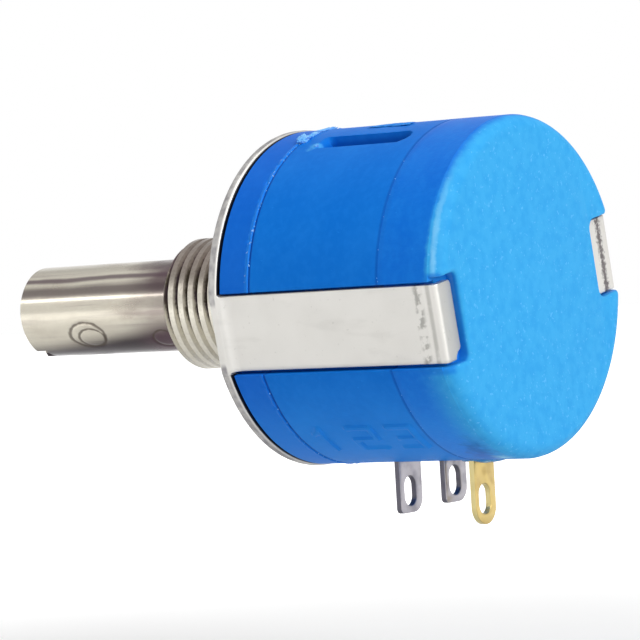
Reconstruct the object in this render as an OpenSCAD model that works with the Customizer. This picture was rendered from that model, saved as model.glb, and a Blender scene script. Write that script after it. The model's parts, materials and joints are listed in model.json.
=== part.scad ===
// Ten-turn wirewound potentiometer for panel mounting.
// The shaft lies along Y. The mounting face is at y = 0, the knob end points along -Y, the body lies
// along +Y and the solder terminals leave it along -Z.

/* [Body] */
// Outer diameter of the body where it meets the mounting plate
body_d = 22.22; // [21.4:0.02:25]
// How much smaller the body's diameter is at the rear, the draft of the mouldings
body_draft = 0.34; // [0:0.02:0.6]
// Length of the front cover
cover_len = 2.5; // [2.3:0.05:4]
// Length of the housing that holds the coil
housing_len = 9.95; // [9.6:0.05:13]
// Length of the rear cap
cap_len = 4.55; // [4.3:0.05:6]
// Thickness of the housing's wall outside the coil
housing_wall = 2.5; // [2.2:0.02:2.9]
// Chamfer on the front cover's front edge
cover_chamfer = 0.22; // [0.05:0.01:0.4]
// Radius of the rear cap's rounded rim
cap_round = 0.97; // [0.3:0.01:1.2]
// Thickness of the rear cap's end wall
cap_end_wall = 1.7; // [1.5:0.02:1.9]
// Length of the tongues that seat the cover and the cap in the housing
tongue_len = 0.4; // [0.2:0.05:0.5]
// Thickness of the tongues
tongue_t = 0.5; // [0.3:0.02:0.6]
// Clearance between pieces that seat in each other
seat_gap = 0.03; // [0.01:0.01:0.06]

/* [Recess on the housing] */
// Angle of the recess about the shaft, from +X towards +Z
recess_angle = 65; // [50:1:80]
// Length of the recess along the body
recess_len = 7.6; // [4:0.1:8]
// Width of the recess
recess_w = 2.1; // [1:0.1:3]
// Depth of the recess
recess_depth = 0.85; // [0.3:0.05:1]
// Distance from the recess' rounded end to the housing's rear
recess_from_rear = 0.75; // [0.5:0.05:2]
// Length of the ramp at the recess' front end
recess_ramp = 1.3; // [0.5:0.1:3]

/* [Mounting plate and clips] */
// How far the mounting plate's edge stands out beyond the body
plate_rim = 0.08; // [0.02:0.01:0.3]
// Thickness of the mounting plate
plate_t = 0.7; // [0.5:0.05:1]
// Radius on the mounting plate's edges
plate_edge = 0.2; // [0.05:0.01:0.24]
// Width of the clips
clip_w = 4.95; // [3:0.05:6]
// Thickness of the clips
clip_t = 0.45; // [0.3:0.01:0.55]
// How far the clips' outer faces lie inside the body's surface
clip_sink = 0.69; // [0.5:0.01:0.8]
// How far the clips are turned about the shaft, with the +X one downwards
clip_tilt = 10.85; // [0:0.05:20]
// How far the clips stand out at their roots, where they leave the plate
clip_root = 0.5; // [0.1:0.02:0.6]
// Radius outside the fold at the clips' rear ends
fold_r = 0.4; // [0.1:0.01:0.42]
// Length of the folded ends from the clips' outer faces
lip_len = 1.6; // [1:0.02:2]
// How far the folded ends lie in front of the rear face
lip_sink = 0.43; // [0.2:0.01:0.6]
// Width of the corner that is left out of each folded end
lip_corner = 0.58; // [0.1:0.02:1]
// Side clearance of the clips in their channels
clip_side_gap = 0.2; // [0.05:0.01:0.3]
// Space between the +X folded end and the inner edge of its pocket
near_pocket_gap = 0.32; // [0.1:0.02:1]
// Space between the -X folded end and the inner edge of its pocket
far_pocket_gap = 0.85; // [0.1:0.02:1]
// Radius of the pockets' inner corners
pocket_corner = 0.45; // [0.1:0.05:0.8]

/* [Bushing] */
// Diameter over the bushing's thread
bushing_d = 8.96; // [8.4:0.02:9.6]
// Length of the bushing in front of the mounting face
bushing_len = 9.5; // [6:0.1:12.7]
// How far the bushing's neck in the mounting plate stands out beyond the thread
bushing_neck = 0.2; // [0.16:0.01:0.3]
// Chamfer at the bushing's front end
bushing_chamfer = 0.45; // [0.1:0.05:0.6]
// Diameter of the bushing's flange
flange_d = 12.4; // [11:0.1:14]
// Thickness of the bushing's flange
flange_t = 1; // [0.7:0.05:1.2]

/* [Shaft] */
// Diameter of the shaft
shaft_d = 6.35; // [6:0.01:6.5]
// Length of the shaft in front of the mounting face
shaft_len = 23.6; // [15:0.1:32]
// Chamfer at the shaft's end
shaft_chamfer = 0.34; // [0.1:0.02:0.6]
// Depth of the relief groove where the shaft enters the bushing
relief_depth = 0.2; // [0.1:0.02:0.3]
// Width of that relief groove, half of it in front of the bushing
relief_w = 0.5; // [0.3:0.05:0.8]
// Diameter of the shaft inside the rotor
rotor_seat_d = 4.8; // [4.4:0.05:5.2]
// Depth of the flat that drives the rotor
drive_flat = 0.4; // [0.2:0.05:0.6]
// Diameter of the journal at the shaft's rear end
journal_d = 4; // [3.6:0.05:4.2]
// Length of the journal inside the rear cap's bearing
journal_len = 1.3; // [0.8:0.05:1.4]
// Width of the screwdriver slot
driver_slot_w = 1.2; // [0.8:0.05:1.6]
// Depth of the screwdriver slot
driver_slot_depth = 1.15; // [0.6:0.05:1.6]
// Direction of the screwdriver slot, from +X towards -Z
driver_slot_angle = 70; // [0:1:180]
// Running clearance round the shaft and the journal
running_gap = 0.04; // [0.02:0.01:0.08]

/* [Thrust washer and retaining ring] */
// Outer diameter of the thrust washer
washer_d = 10; // [8:0.1:11]
// Thickness of the thrust washer
washer_t = 0.2; // [0.1:0.02:0.3]
// Outer diameter of the retaining ring
retainer_d = 8.8; // [8:0.1:10]
// Thickness of the retaining ring
retainer_t = 0.5; // [0.3:0.05:0.6]
// Depth of the shaft's groove for the retaining ring
retainer_groove = 0.47; // [0.3:0.01:0.6]
// Width of the retaining ring's opening
retainer_opening = 2.4; // [1:0.1:4]
// End play of the washer and of the retaining ring
end_play = 0.03; // [0.01:0.01:0.05]

/* [Resistance element] */
// Diameter of the wound core
element_d = 0.5; // [0.4:0.01:0.54]
// Distance from the housing's ends to the middle of the first and of the last turn
coil_end_room = 1.07; // [1.02:0.01:1.2]
// Gap between the wound core and the housing's bore
element_gap = 0.02; // [0.01:0.01:0.05]
// Width of the strips that join the coil to its terminals
lead_w = 0.9; // [0.6:0.05:1]
// Thickness of those strips
lead_t = 0.25; // [0.15:0.01:0.3]
// Depth of the groove for those strips below the bore
lead_groove = 0.65; // [0.55:0.01:0.7]

/* [Rotor] */
// Diameter of the rotor
rotor_d = 13.2; // [12.6:0.1:13.8]
// Gap between the retaining ring and the rotor
rotor_gap = 0.2; // [0.1:0.02:0.22]
// Thickness of the rotor's rear wall
rotor_wall = 0.9; // [0.6:0.05:1]
// Thickness of the rotor's outer skin
rotor_skin = 1.1; // [0.8:0.05:1.5]
// Outer diameter of the rotor's hub round the shaft
hub_d = 7.2; // [6.8:0.1:7.6]
// Width of the slot that the slider travels in
slider_slot_w = 4.1; // [3.4:0.1:4.6]
// Width of the slip ring
slip_ring_w = 0.9; // [0.6:0.05:1]
// Inner diameter of the slip ring
slip_ring_bore = 6.4; // [6.2:0.05:6.6]
// Outer diameter of the slip ring
slip_ring_d = 8.8; // [8.7:0.05:9.6]
// Diameter of the collector rod
rod_d = 0.8; // [0.6:0.02:0.84]

/* [Slider] */
// Length of the slider along the rotor
slider_len = 2; // [1.6:0.05:2.1]
// Clearance of the slider in the rotor's slot, on each side and at each end of its travel
slider_gap = 0.1; // [0.05:0.01:0.15]
// Clearance between the slider and the coil
slider_coil_gap = 0.13; // [0.1:0.01:0.2]
// Clearance of the slider's guide ribs beside a turn of the coil
rib_gap = 0.08; // [0.05:0.01:0.09]
// Length of the guide ribs across the slider
rib_len = 1; // [0.6:0.05:1.2]
// Diameter of the contact
contact_d = 0.6; // [0.5:0.02:0.7]
// Gap left between the contact and the coil, and between the spring and the rod
contact_gap = 0.04; // [0.03:0.01:0.06]
// Height of the space for the wiper spring
spring_room = 0.9; // [0.8:0.02:1.1]
// Thickness of the wiper spring's leaf
leaf_t = 0.12; // [0.08:0.01:0.15]
// Length of the wiper spring
spring_len = 1.4; // [1:0.05:1.6]
// Width of the wiper spring's leaf
leaf_w = 0.9; // [0.6:0.05:1.2]

/* [Terminals] */
// Width of the two end terminals
lug_w = 2.5; // [2:0.02:3]
// Width of the wiper terminal
wiper_lug_w = 2.34; // [2:0.02:3]
// Thickness of the terminals
lug_t = 0.42; // [0.3:0.01:0.5]
// Length of the front end terminal below the body
terminal_1_len = 3.29; // [2.5:0.01:8]
// Length of the rear end terminal below the body
terminal_2_len = 2.59; // [2.3:0.01:8]
// Length of the wiper terminal below the body
wiper_len = 4.06; // [2.8:0.01:9]
// Distance from the housing's front to the front terminal's rear face
terminal_1_place = 4.05; // [3:0.05:5]
// Distance from the rear terminal's rear face to the housing's rear
terminal_2_place = 2.35; // [1.9:0.05:3]
// Distance from the wiper terminal's rear face to the housing's rear
wiper_place = 0.13; // [0.05:0.01:0.16]
// Width of the terminals' eyes
eye_w = 1.34; // [0.8:0.02:1.5]
// Length of the terminals' eyes
eye_len = 1.97; // [1.6:0.01:2]
// Metal left below the end terminals' eyes
eye_margin = 0.45; // [0.3:0.01:0.6]
// Metal left below the wiper terminal's eye
wiper_eye_margin = 0.67; // [0.4:0.01:0.8]
// How far the eyes lie off the terminals' middle, towards +X
eye_offset = 0.12; // [0:0.01:0.2]
// Radius of the end terminals' corner on the +X side
small_corner = 0.35; // [0.1:0.05:0.6]
// Radius of the end terminals' corner on the -X side
large_corner = 1; // [0.6:0.05:1.2]
// Width of the terminals' necks inside the wall
neck_w = 1; // [0.8:0.05:1.2]
// How far the terminals' shoulders lie inside the body's surface
shoulder_sink = 0.95; // [0.6:0.05:1.1]
// Clearance round the terminals in the wall
lug_gap = 0.05; // [0.02:0.01:0.08]
// Radius of the ball that the drop of sealant is a part of
sealant_r = 1.9; // [1.6:0.05:2.2]
// How far the drop of sealant stands out from the body
sealant_h = 0.5; // [0.2:0.05:0.7]
// Thickness of the collector brush
brush_t = 0.25; // [0.15:0.01:0.3]
// Length of the collector brush's foot on the wiper terminal
brush_foot_len = 0.75; // [0.4:0.05:0.9]
// Room round the collector brush in the rear cap
brush_room = 0.2; // [0.1:0.01:0.3]

/* [Hidden] */
$fn = 72;

turns = 10;
cut = 1;                                // how far a cutter runs past the surface that it cuts
body_r = body_d / 2;
seam_1 = plate_t + cover_len;           // joint between the front cover and the housing
seam_2 = seam_1 + housing_len;          // joint between the housing and the rear cap
rear_y = seam_2 + cap_len;
function body_radius(y) = body_r - body_draft / 2 * (y - plate_t) / (rear_y - plate_t);

bore_r = body_r - housing_wall;
tongue_out_r = bore_r - seat_gap;
tongue_in_r = tongue_out_r - tongue_t;
cap_floor_y = rear_y - cap_end_wall;

clip_out = body_r - clip_sink;          // places of the clips' faces, measured from the axis
clip_in = clip_out - clip_t;
channel_floor = clip_in - seat_gap;
lip_rear = rear_y - lip_sink;
lip_front = lip_rear - clip_t;
lip_in = clip_out - lip_len;

shaft_r = shaft_d / 2;
bushing_r = bushing_d / 2;
neck_r = bushing_r + bushing_neck;
flange_rear = plate_t + flange_t;
washer_rear = flange_rear + end_play + washer_t;
retainer_front = washer_rear + end_play;
retainer_rear = retainer_front + retainer_t;
groove_r = shaft_r - retainer_groove;
relief_front = -bushing_len - relief_w / 2;

coil_pitch = (housing_len - 2 * coil_end_room) / turns;
first_turn = seam_1 + coil_end_room;
last_turn = seam_2 - coil_end_room;
rest_y = (first_turn + last_turn) / 2;  // the slider rests in the middle of its travel
element_r = element_d / 2;
coil_r = bore_r - element_gap - element_r;
coil_in_r = coil_r - element_r;
lead_bottom = bore_r + lead_groove - 0.15;

rotor_front = retainer_rear + rotor_gap;
slot_front = first_turn - slider_len / 2 - slider_gap;
slot_rear = last_turn + slider_len / 2 + slider_gap;
rotor_rear = slot_rear + rotor_wall;
hub_rear = rotor_rear + slip_ring_w;
rotor_r = rotor_d / 2;
hub_r = hub_d / 2;
seat_r = rotor_seat_d / 2;
journal_r = journal_d / 2;
rod_r = rod_d / 2;
rod_place = (slip_ring_bore + slip_ring_d) / 4;     // the rod ends on the middle of the slip ring
slot_roof = rod_place - rod_r - 0.3;
boss_front = hub_rear + 0.3;
boss_r = journal_r + running_gap + 1.15;
journal_end = boss_front + journal_len;
slider_top = rod_place + rod_r + spring_room;
slider_r = coil_in_r - slider_coil_gap;
head_t = 0.2;

shoulder = body_r - shoulder_sink;
terminal_1_rear = seam_1 + terminal_1_place;
terminal_2_rear = seam_2 - terminal_2_place;
wiper_rear = seam_2 - wiper_place;
brush_riser = rotor_rear + slip_ring_w / 2 + brush_t / 2;   // rear face of the brush's riser
brush_bottom = bore_r + 0.25;
brush_foot = brush_bottom + brush_foot_len;

// A solid cylinder along Y, from y0 to y1
module rod_y(r, y0, y1) {
    translate([0, y0, 0]) rotate([-90, 0, 0]) cylinder(h = y1 - y0, r = r);
}

// A ring along Y
module ring_y(r_in, r_out, y0, y1) {
    difference() {
        rod_y(r_out, y0, y1);
        rod_y(r_in, y0 - cut, y1 + cut);
    }
}

// Turns a profile of radius and place along Y into a solid
module revolve_y() {
    rotate([-90, 0, 0]) rotate_extrude() children();
}

// A box from its lowest to its highest corner
module box(low, high) {
    translate(low) cube(high - low);
}

// Extrudes an outline in X and Z along Y, from y0 to y1
module slab_y(y0, y1) {
    translate([0, y1, 0]) rotate([90, 0, 0]) linear_extrude(y1 - y0) children();
}

// Extrudes an outline in Y and Z along X, to a strip of width w about the middle
module strip_x(w) {
    translate([-w / 2, 0, 0]) rotate([90, 0, 90]) linear_extrude(w) children();
}

// Places the +X clip, or with side = 180 the -X one
module at_clip(side) {
    rotate([0, clip_tilt + side, 0]) children();
}

// The channels for both clips, cut along the body from y0 to y1
module clip_channels(y0, y1) {
    half_w = clip_w / 2 + clip_side_gap;
    for (side = [0, 180]) at_clip(side)
        box([channel_floor, y0, -half_w], [body_r + cut, y1, half_w]);
}

// Outline of one clip in the plane of its length: root, arm, fold and folded end
module clip_profile() {
    difference() {
        polygon([[clip_in, plate_t / 2], [clip_out + clip_root, plate_t / 2],
                 [clip_out + clip_root, plate_t * 0.8], [clip_out, plate_t + clip_root],
                 [clip_out, lip_rear], [lip_in, lip_rear], [lip_in, lip_front],
                 [clip_in, lip_front]]);
        translate([clip_out - fold_r, lip_rear - fold_r]) difference() {
            square(fold_r + cut);
            circle(fold_r);
        }
    }
}

// One folded sheet: the round mounting plate and the two clips that hold the body together
module front_plate() {
    plate_r = body_r + plate_rim;
    hole_r = neck_r + seat_gap;
    color("lightgray") union() {
        difference() {
            revolve_y() {
                translate([hole_r, 0]) square([plate_r - plate_edge - hole_r, plate_t]);
                translate([hole_r, plate_edge])
                    square([plate_r - hole_r, plate_t - 2 * plate_edge]);
                for (y = [plate_edge, plate_t - plate_edge])
                    translate([plate_r - plate_edge, y]) circle(plate_edge);
            }
            for (side = [0, 180]) at_clip(side)
                box([clip_out + clip_root, -cut, -clip_w], [plate_r + cut, plate_t + cut, clip_w]);
        }
        for (side = [0, 180]) at_clip(side) difference() {
            linear_extrude(clip_w, center = true) clip_profile();
            box([lip_in - cut, lip_front - cut, -clip_w],
                [clip_in - 0.2, lip_rear + cut, -clip_w / 2 + lip_corner]);
        }
    }
}

module bushing() {
    bore = shaft_r + running_gap;
    color("gray") revolve_y()
        polygon([[bore, -bushing_len], [bushing_r - bushing_chamfer, -bushing_len],
                 [bushing_r, bushing_chamfer - bushing_len], [bushing_r, 0],
                 [neck_r, 0], [neck_r, plate_t], [flange_d / 2, plate_t],
                 [flange_d / 2, flange_rear], [bore, flange_rear]]);
}

module thrust_washer() {
    color("silver") ring_y(shaft_r + 0.1, washer_d / 2, flange_rear + end_play, washer_rear);
}

module front_cover() {
    web_r = flange_d / 2 + seat_gap;
    color("royalblue") difference() {
        revolve_y()
            polygon([[web_r, plate_t], [body_r - cover_chamfer, plate_t],
                     [body_radius(plate_t + cover_chamfer), plate_t + cover_chamfer],
                     [body_radius(seam_1), seam_1], [tongue_out_r, seam_1],
                     [tongue_out_r, seam_1 + tongue_len], [tongue_in_r, seam_1 + tongue_len],
                     [tongue_in_r, flange_rear], [web_r, flange_rear]]);
        clip_channels(plate_t - cut, seam_1 + cut);
    }
}

// The slot that the outer part of a terminal leaves the wall by, and the slot for its neck
module lug_slot(w, rear, front_gap, rear_gap) {
    half_w = w / 2 + lug_gap;
    half_neck = neck_w / 2 + lug_gap;
    box([-half_w, rear - lug_t - front_gap, -body_r - cut],
        [half_w, rear + rear_gap, lug_gap - shoulder]);
    box([-half_neck, rear - lug_t - front_gap, -shoulder],
        [half_neck, rear + rear_gap, cut - bore_r]);
}

module housing() {
    color("dodgerblue") difference() {
        revolve_y()
            polygon([[bore_r, seam_1], [body_radius(seam_1), seam_1],
                     [body_radius(seam_2), seam_2], [bore_r, seam_2]]);
        clip_channels(seam_1 - cut, seam_2 + cut);
        housing_recess();
        lug_slot(lug_w, terminal_1_rear, lug_gap, lug_gap);
        lug_slot(lug_w, terminal_2_rear, lug_gap, lug_gap);
        lug_slot(wiper_lug_w, wiper_rear, lug_gap, wiper_place + cut);
        box([-lead_w / 2 - 0.1, first_turn - 0.5, -bore_r - lead_groove],
            [lead_w / 2 + 0.1, last_turn + 0.5, cut - bore_r]);
    }
}

// The long blind recess on the housing, with a ramp at its front and a round rear end
module housing_recess() {
    rear = seam_2 - recess_from_rear - recess_w / 2;
    front = rear + recess_w / 2 - recess_len;
    floor_r = body_r - recess_depth;
    rotate([0, -recess_angle, 0]) {
        translate([0, 0, -recess_w / 2]) linear_extrude(recess_w)
            polygon([[body_r, front], [floor_r, front + recess_ramp], [floor_r, rear],
                     [body_r + cut, rear], [body_r + cut, front]]);
        translate([floor_r, rear, 0]) rotate([0, 90, 0])
            cylinder(h = recess_depth + cut, r = recess_w / 2);
    }
}

// Outline of the pocket that a folded end lies in, open outwards, with round inner corners
module pocket_outline(inner) {
    low = -clip_w / 2 - clip_side_gap;
    high = clip_w / 2 + clip_side_gap + 0.2;
    c = pocket_corner;
    translate([inner + c, low]) square([body_r + cut - inner - c, high - low]);
    translate([inner, low + c]) square([body_r + cut - inner, high - low - 2 * c]);
    for (z = [low + c, high - c]) translate([inner + c, z]) circle(c);
}

// Room for the collector brush in the bottom of the rear cap, from y0 to y1 and down to a depth
module brush_room_from(y0, y1, depth) {
    half_w = neck_w / 2 + brush_room;
    box([-half_w, y0, -depth - brush_room], [half_w, y1, cut - tongue_in_r]);
}

module rear_cap() {
    outer_r = body_radius(rear_y);
    color("deepskyblue") difference() {
        union() {
            revolve_y() {
                polygon([[0, cap_floor_y], [tongue_in_r, cap_floor_y],
                         [tongue_in_r, seam_2 - tongue_len], [tongue_out_r, seam_2 - tongue_len],
                         [tongue_out_r, seam_2], [body_radius(seam_2), seam_2],
                         [outer_r, rear_y - cap_round], [outer_r - cap_round, rear_y], [0, rear_y]]);
                translate([outer_r - cap_round, rear_y - cap_round]) circle(cap_round);
            }
            rod_y(boss_r, boss_front, cap_floor_y + cut / 2);
        }
        clip_channels(seam_2 - cut, lip_rear);
        at_clip(0) slab_y(lip_front, rear_y + cut) pocket_outline(lip_in - near_pocket_gap);
        at_clip(180) slab_y(lip_front, rear_y + cut) pocket_outline(lip_in - far_pocket_gap);
        rod_y(journal_r + running_gap, boss_front - cut, journal_end + 0.2);
        brush_room_from(seam_2 - tongue_len - cut, brush_riser + brush_room, brush_bottom);
        brush_room_from(seam_2 - cut, wiper_rear + brush_t + brush_room, brush_foot);
    }
}

// The insulated core wound with resistance wire, bent into a ten-turn helix against the bore
module resistance_element() {
    sides = 6;
    steps = 30;                         // rings for each turn
    rings = turns * steps + 2;          // one ring past the middle of the bottom at each end
    function ring_point(i, k) =
        let (turn = (i - 1) * 360 / steps, side = k * 360 / sides, r = coil_r + element_r * cos(side))
        [-r * sin(turn), first_turn + coil_pitch * turn / 360 + element_r * sin(side),
         -r * cos(turn)];
    function band(i, k) =
        let (a = i * sides + k, b = i * sides + (k + 1) % sides)
        [[a, b + sides, a + sides], [a, b, b + sides]];
    points = [for (i = [0:rings]) for (k = [0:sides - 1]) ring_point(i, k)];
    faces = concat([[for (k = [sides - 1:-1:0]) k]],
                   [for (i = [0:rings - 1]) for (k = [0:sides - 1]) for (f = band(i, k)) f],
                   [[for (k = [0:sides - 1]) rings * sides + k]]);
    color("peru") polyhedron(points, faces, convexity = 20);
}

// A strip in the wall's groove, with a tab that rises to the end turn of the coil
module element_lead(tab_y, from_y, to_y) {
    color("goldenrod") {
        box([-lead_w / 2, from_y, -lead_bottom], [lead_w / 2, to_y, lead_t - lead_bottom]);
        box([-lead_w / 2, tab_y - 0.2, -lead_bottom], [lead_w / 2, tab_y + 0.2, -bore_r]);
    }
}

module element_start_lead() {
    element_lead(first_turn, first_turn - 0.2, terminal_1_rear);
}

module element_end_lead() {
    element_lead(last_turn, terminal_2_rear - lug_t, last_turn + 0.2);
}

// The eye of a terminal, a slot with round ends, with its lower end at z = bottom
module eye(bottom) {
    r = eye_w / 2;
    translate([eye_offset, bottom + r]) {
        circle(r);
        translate([-r, 0]) square([eye_w, eye_len - eye_w]);
        translate([0, eye_len - eye_w]) circle(r);
    }
}

// Outline of a terminal: a round tip with its own radius on each side, shoulders and a neck
module lug_outline(w, reach, neck_top, left_r, right_r, margin) {
    h = w / 2;
    difference() {
        union() {
            polygon([[-h, -shoulder], [-h, right_r - reach], [right_r - h, -reach],
                     [h - left_r, -reach], [h, left_r - reach], [h, -shoulder],
                     [neck_w / 2, -shoulder], [neck_w / 2, -neck_top],
                     [-neck_w / 2, -neck_top], [-neck_w / 2, -shoulder]]);
            translate([right_r - h, right_r - reach]) circle(right_r);
            translate([h - left_r, left_r - reach]) circle(left_r);
        }
        eye(margin - reach);
    }
}

module terminal_1() {
    color("gainsboro") slab_y(terminal_1_rear - lug_t, terminal_1_rear)
        lug_outline(lug_w, body_r + terminal_1_len, lead_bottom, small_corner, large_corner,
                    eye_margin);
}

module terminal_2() {
    color("gainsboro") slab_y(terminal_2_rear - lug_t, terminal_2_rear)
        lug_outline(lug_w, body_r + terminal_2_len, lead_bottom, small_corner, large_corner,
                    eye_margin);
}

module wiper_terminal() {
    tip_r = wiper_lug_w / 2;
    color("gold") slab_y(wiper_rear - lug_t, wiper_rear)
        lug_outline(wiper_lug_w, body_r + wiper_len, brush_bottom, tip_r, tip_r, wiper_eye_margin);
}

// The drop of adhesive where the wiper terminal leaves the body
module terminal_sealant() {
    half_w = wiper_lug_w / 2 + seat_gap;
    color("teal") difference() {
        translate([0, seam_2, sealant_r - sealant_h - body_r]) sphere(sealant_r, $fn = 240);
        rod_y(body_r + 0.01, seam_2 - 2 * sealant_r, seam_2 + 2 * sealant_r, $fn = 240);
        box([-half_w, wiper_rear - lug_t - seat_gap, -body_r - 2 * cut],
            [half_w, wiper_rear + seat_gap, 0]);
    }
}

// The leaf from the wiper terminal to the slip ring
module collector_brush() {
    color("orange") strip_x(neck_w) {
        translate([wiper_rear, -brush_foot]) square([brush_t, brush_foot - brush_bottom + brush_t]);
        translate([wiper_rear, -brush_bottom]) square([brush_riser - wiper_rear, brush_t]);
        translate([brush_riser - brush_t, -brush_bottom])
            square([brush_t, brush_bottom - slip_ring_d / 2 - contact_gap]);
    }
}

// The shaft with its screwdriver slot, retaining groove, rotor seat and rear journal
module shaft() {
    color("darkgray") difference() {
        revolve_y()
            polygon([[0, -shaft_len], [shaft_r - shaft_chamfer, -shaft_len],
                     [shaft_r, shaft_chamfer - shaft_len], [shaft_r, relief_front],
                     [shaft_r - relief_depth, relief_front],
                     [shaft_r - relief_depth, relief_front + relief_w],
                     [shaft_r, relief_front + relief_w], [shaft_r, retainer_front - end_play],
                     [groove_r, retainer_front - end_play], [groove_r, retainer_rear + end_play],
                     [shaft_r, retainer_rear + end_play], [shaft_r, rotor_front],
                     [seat_r, rotor_front], [seat_r, hub_rear],
                     [journal_r, hub_rear], [journal_r, journal_end], [0, journal_end]]);
        rotate([0, driver_slot_angle, 0])
            box([-shaft_d, -shaft_len - cut, -driver_slot_w / 2],
                [shaft_d, driver_slot_depth - shaft_len, driver_slot_w / 2]);
        drive_land(rotor_front, 0);
    }
}

// The side of the shaft's seat that the flat takes away, and that the rotor's bore fills
module drive_land(from_y, gap) {
    box([-shaft_d, from_y, seat_r - drive_flat + gap], [shaft_d, hub_rear, shaft_d]);
}

module retaining_ring() {
    color("slategray") difference() {
        ring_y(groove_r + seat_gap, retainer_d / 2, retainer_front, retainer_rear);
        box([-retainer_opening / 2, retainer_front - cut, 0],
            [retainer_opening / 2, retainer_rear + cut, retainer_d]);
    }
}

// The moulded drum that turns with the shaft and carries the slider in its slot
module rotor() {
    half_slot = slider_slot_w / 2;
    color("ivory") difference() {
        union() {
            rod_y(rotor_r, rotor_front, rotor_rear);
            rod_y(slip_ring_bore / 2 - seat_gap, rotor_rear - cut / 2, hub_rear);
        }
        difference() {
            rod_y(seat_r + seat_gap, rotor_front - cut, hub_rear + cut);
            drive_land(rotor_front - 2 * cut, seat_gap);
        }
        difference() {
            ring_y(hub_r, rotor_r - rotor_skin, rotor_front - cut, rotor_rear - rotor_wall);
            box([-half_slot - 1, rotor_front - 2 * cut, -rotor_d], [half_slot + 1, rotor_rear, 0]);
        }
        box([-half_slot, slot_front, -rotor_d], [half_slot, slot_rear, -slot_roof]);
        translate([0, 0, -rod_place]) rod_y(rod_r + seat_gap, slot_front - 0.3, rotor_rear + cut);
    }
}

module collector_rod() {
    color("khaki") translate([0, 0, -rod_place]) rod_y(rod_r, slot_front - 0.3, rotor_rear);
}

module slip_ring() {
    color("gold") ring_y(slip_ring_bore / 2, slip_ring_d / 2, rotor_rear, hub_rear);
}

// The slider: its two guide ribs lie beside one turn of the coil, which screws it along the rotor
module slider_carriage() {
    half_w = slider_slot_w / 2 - slider_gap;
    rib_t = coil_pitch - element_d - 2 * rib_gap;
    color("tomato") difference() {
        union() {
            intersection() {
                rod_y(slider_r, rest_y - slider_len / 2, rest_y + slider_len / 2);
                box([-half_w, rest_y - slider_len, -bore_r], [half_w, rest_y + slider_len, -slider_top]);
            }
            for (place = [-coil_pitch / 2, coil_pitch / 2]) intersection() {
                ring_y(slider_r - 0.3, coil_r - 0.05, rest_y + place - rib_t / 2,
                       rest_y + place + rib_t / 2);
                box([-rib_len / 2, rest_y - slider_len, -bore_r], [rib_len / 2, rest_y + slider_len, 0]);
            }
        }
        translate([0, rest_y, -bore_r])
            cylinder(h = bore_r, r = contact_d / 2 + seat_gap);
    }
}

// The leaf that is bent back on itself between the collector rod and the contact
module wiper_spring() {
    low = head_t - slider_top;
    high = -rod_place - rod_r - contact_gap;
    bend_r = (high - low) / 2;
    leg = spring_len - bend_r;
    color("burlywood") strip_x(leaf_w) translate([rest_y - spring_len / 2, low]) {
        for (z = [0, 2 * bend_r - leaf_t]) translate([0, z]) square([leg, leaf_t]);
        difference() {
            translate([leg, bend_r]) circle(bend_r);
            translate([leg, bend_r]) circle(bend_r - leaf_t);
            translate([-cut, -cut]) square([leg + cut, 2 * bend_r + 2 * cut]);
        }
    }
}

// The contact: a headed pin through the slider, with a round tip over the coil
module wiper_contact() {
    tip_r = contact_d / 2;
    color("gold") translate([0, rest_y, 0]) {
        translate([0, 0, -slider_top]) cylinder(h = head_t, r = tip_r + 0.2);
        translate([0, 0, tip_r - coil_in_r + contact_gap]) {
            cylinder(h = coil_in_r - contact_gap - tip_r - slider_top, r = tip_r);
            sphere(tip_r);
        }
    }
}

front_plate();
bushing();
thrust_washer();
front_cover();
housing();
rear_cap();
resistance_element();
element_start_lead();
element_end_lead();
terminal_1();
terminal_2();
wiper_terminal();
terminal_sealant();
collector_brush();
shaft();
retaining_ring();
rotor();
collector_rod();
slip_ring();
slider_carriage();
wiper_spring();
wiper_contact();
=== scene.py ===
"""Looks of a ten-turn wirewound potentiometer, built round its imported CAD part."""

import json
import math
from functools import partial, reduce

import bmesh
import bpy
from bpy.props import FloatProperty, FloatVectorProperty, PointerProperty
from mathutils import Euler, Matrix, Vector, noise


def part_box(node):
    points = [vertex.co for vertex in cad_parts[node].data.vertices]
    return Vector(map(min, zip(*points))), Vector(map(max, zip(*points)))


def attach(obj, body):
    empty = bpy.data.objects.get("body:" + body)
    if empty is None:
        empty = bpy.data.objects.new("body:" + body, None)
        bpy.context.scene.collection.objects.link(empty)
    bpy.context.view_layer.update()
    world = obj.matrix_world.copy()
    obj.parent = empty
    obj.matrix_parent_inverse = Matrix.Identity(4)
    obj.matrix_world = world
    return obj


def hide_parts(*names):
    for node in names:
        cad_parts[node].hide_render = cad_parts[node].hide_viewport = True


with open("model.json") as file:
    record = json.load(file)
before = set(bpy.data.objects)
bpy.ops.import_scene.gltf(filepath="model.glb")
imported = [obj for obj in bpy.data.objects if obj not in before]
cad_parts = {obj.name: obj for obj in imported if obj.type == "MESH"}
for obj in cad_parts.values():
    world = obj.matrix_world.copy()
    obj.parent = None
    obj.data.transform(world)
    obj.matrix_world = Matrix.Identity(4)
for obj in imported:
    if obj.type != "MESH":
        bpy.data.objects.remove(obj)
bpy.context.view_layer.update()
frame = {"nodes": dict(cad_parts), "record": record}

bl_info = {
    "name": "Ten-turn potentiometer",
    "version": (1, 0, 0),
    "blender": (4, 5, 0),
    "location": "3D View > Sidebar > Potentiometer",
    "description": "Dresses the CAD part of a panel-mounted wirewound potentiometer",
    "category": "Object",
}

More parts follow.
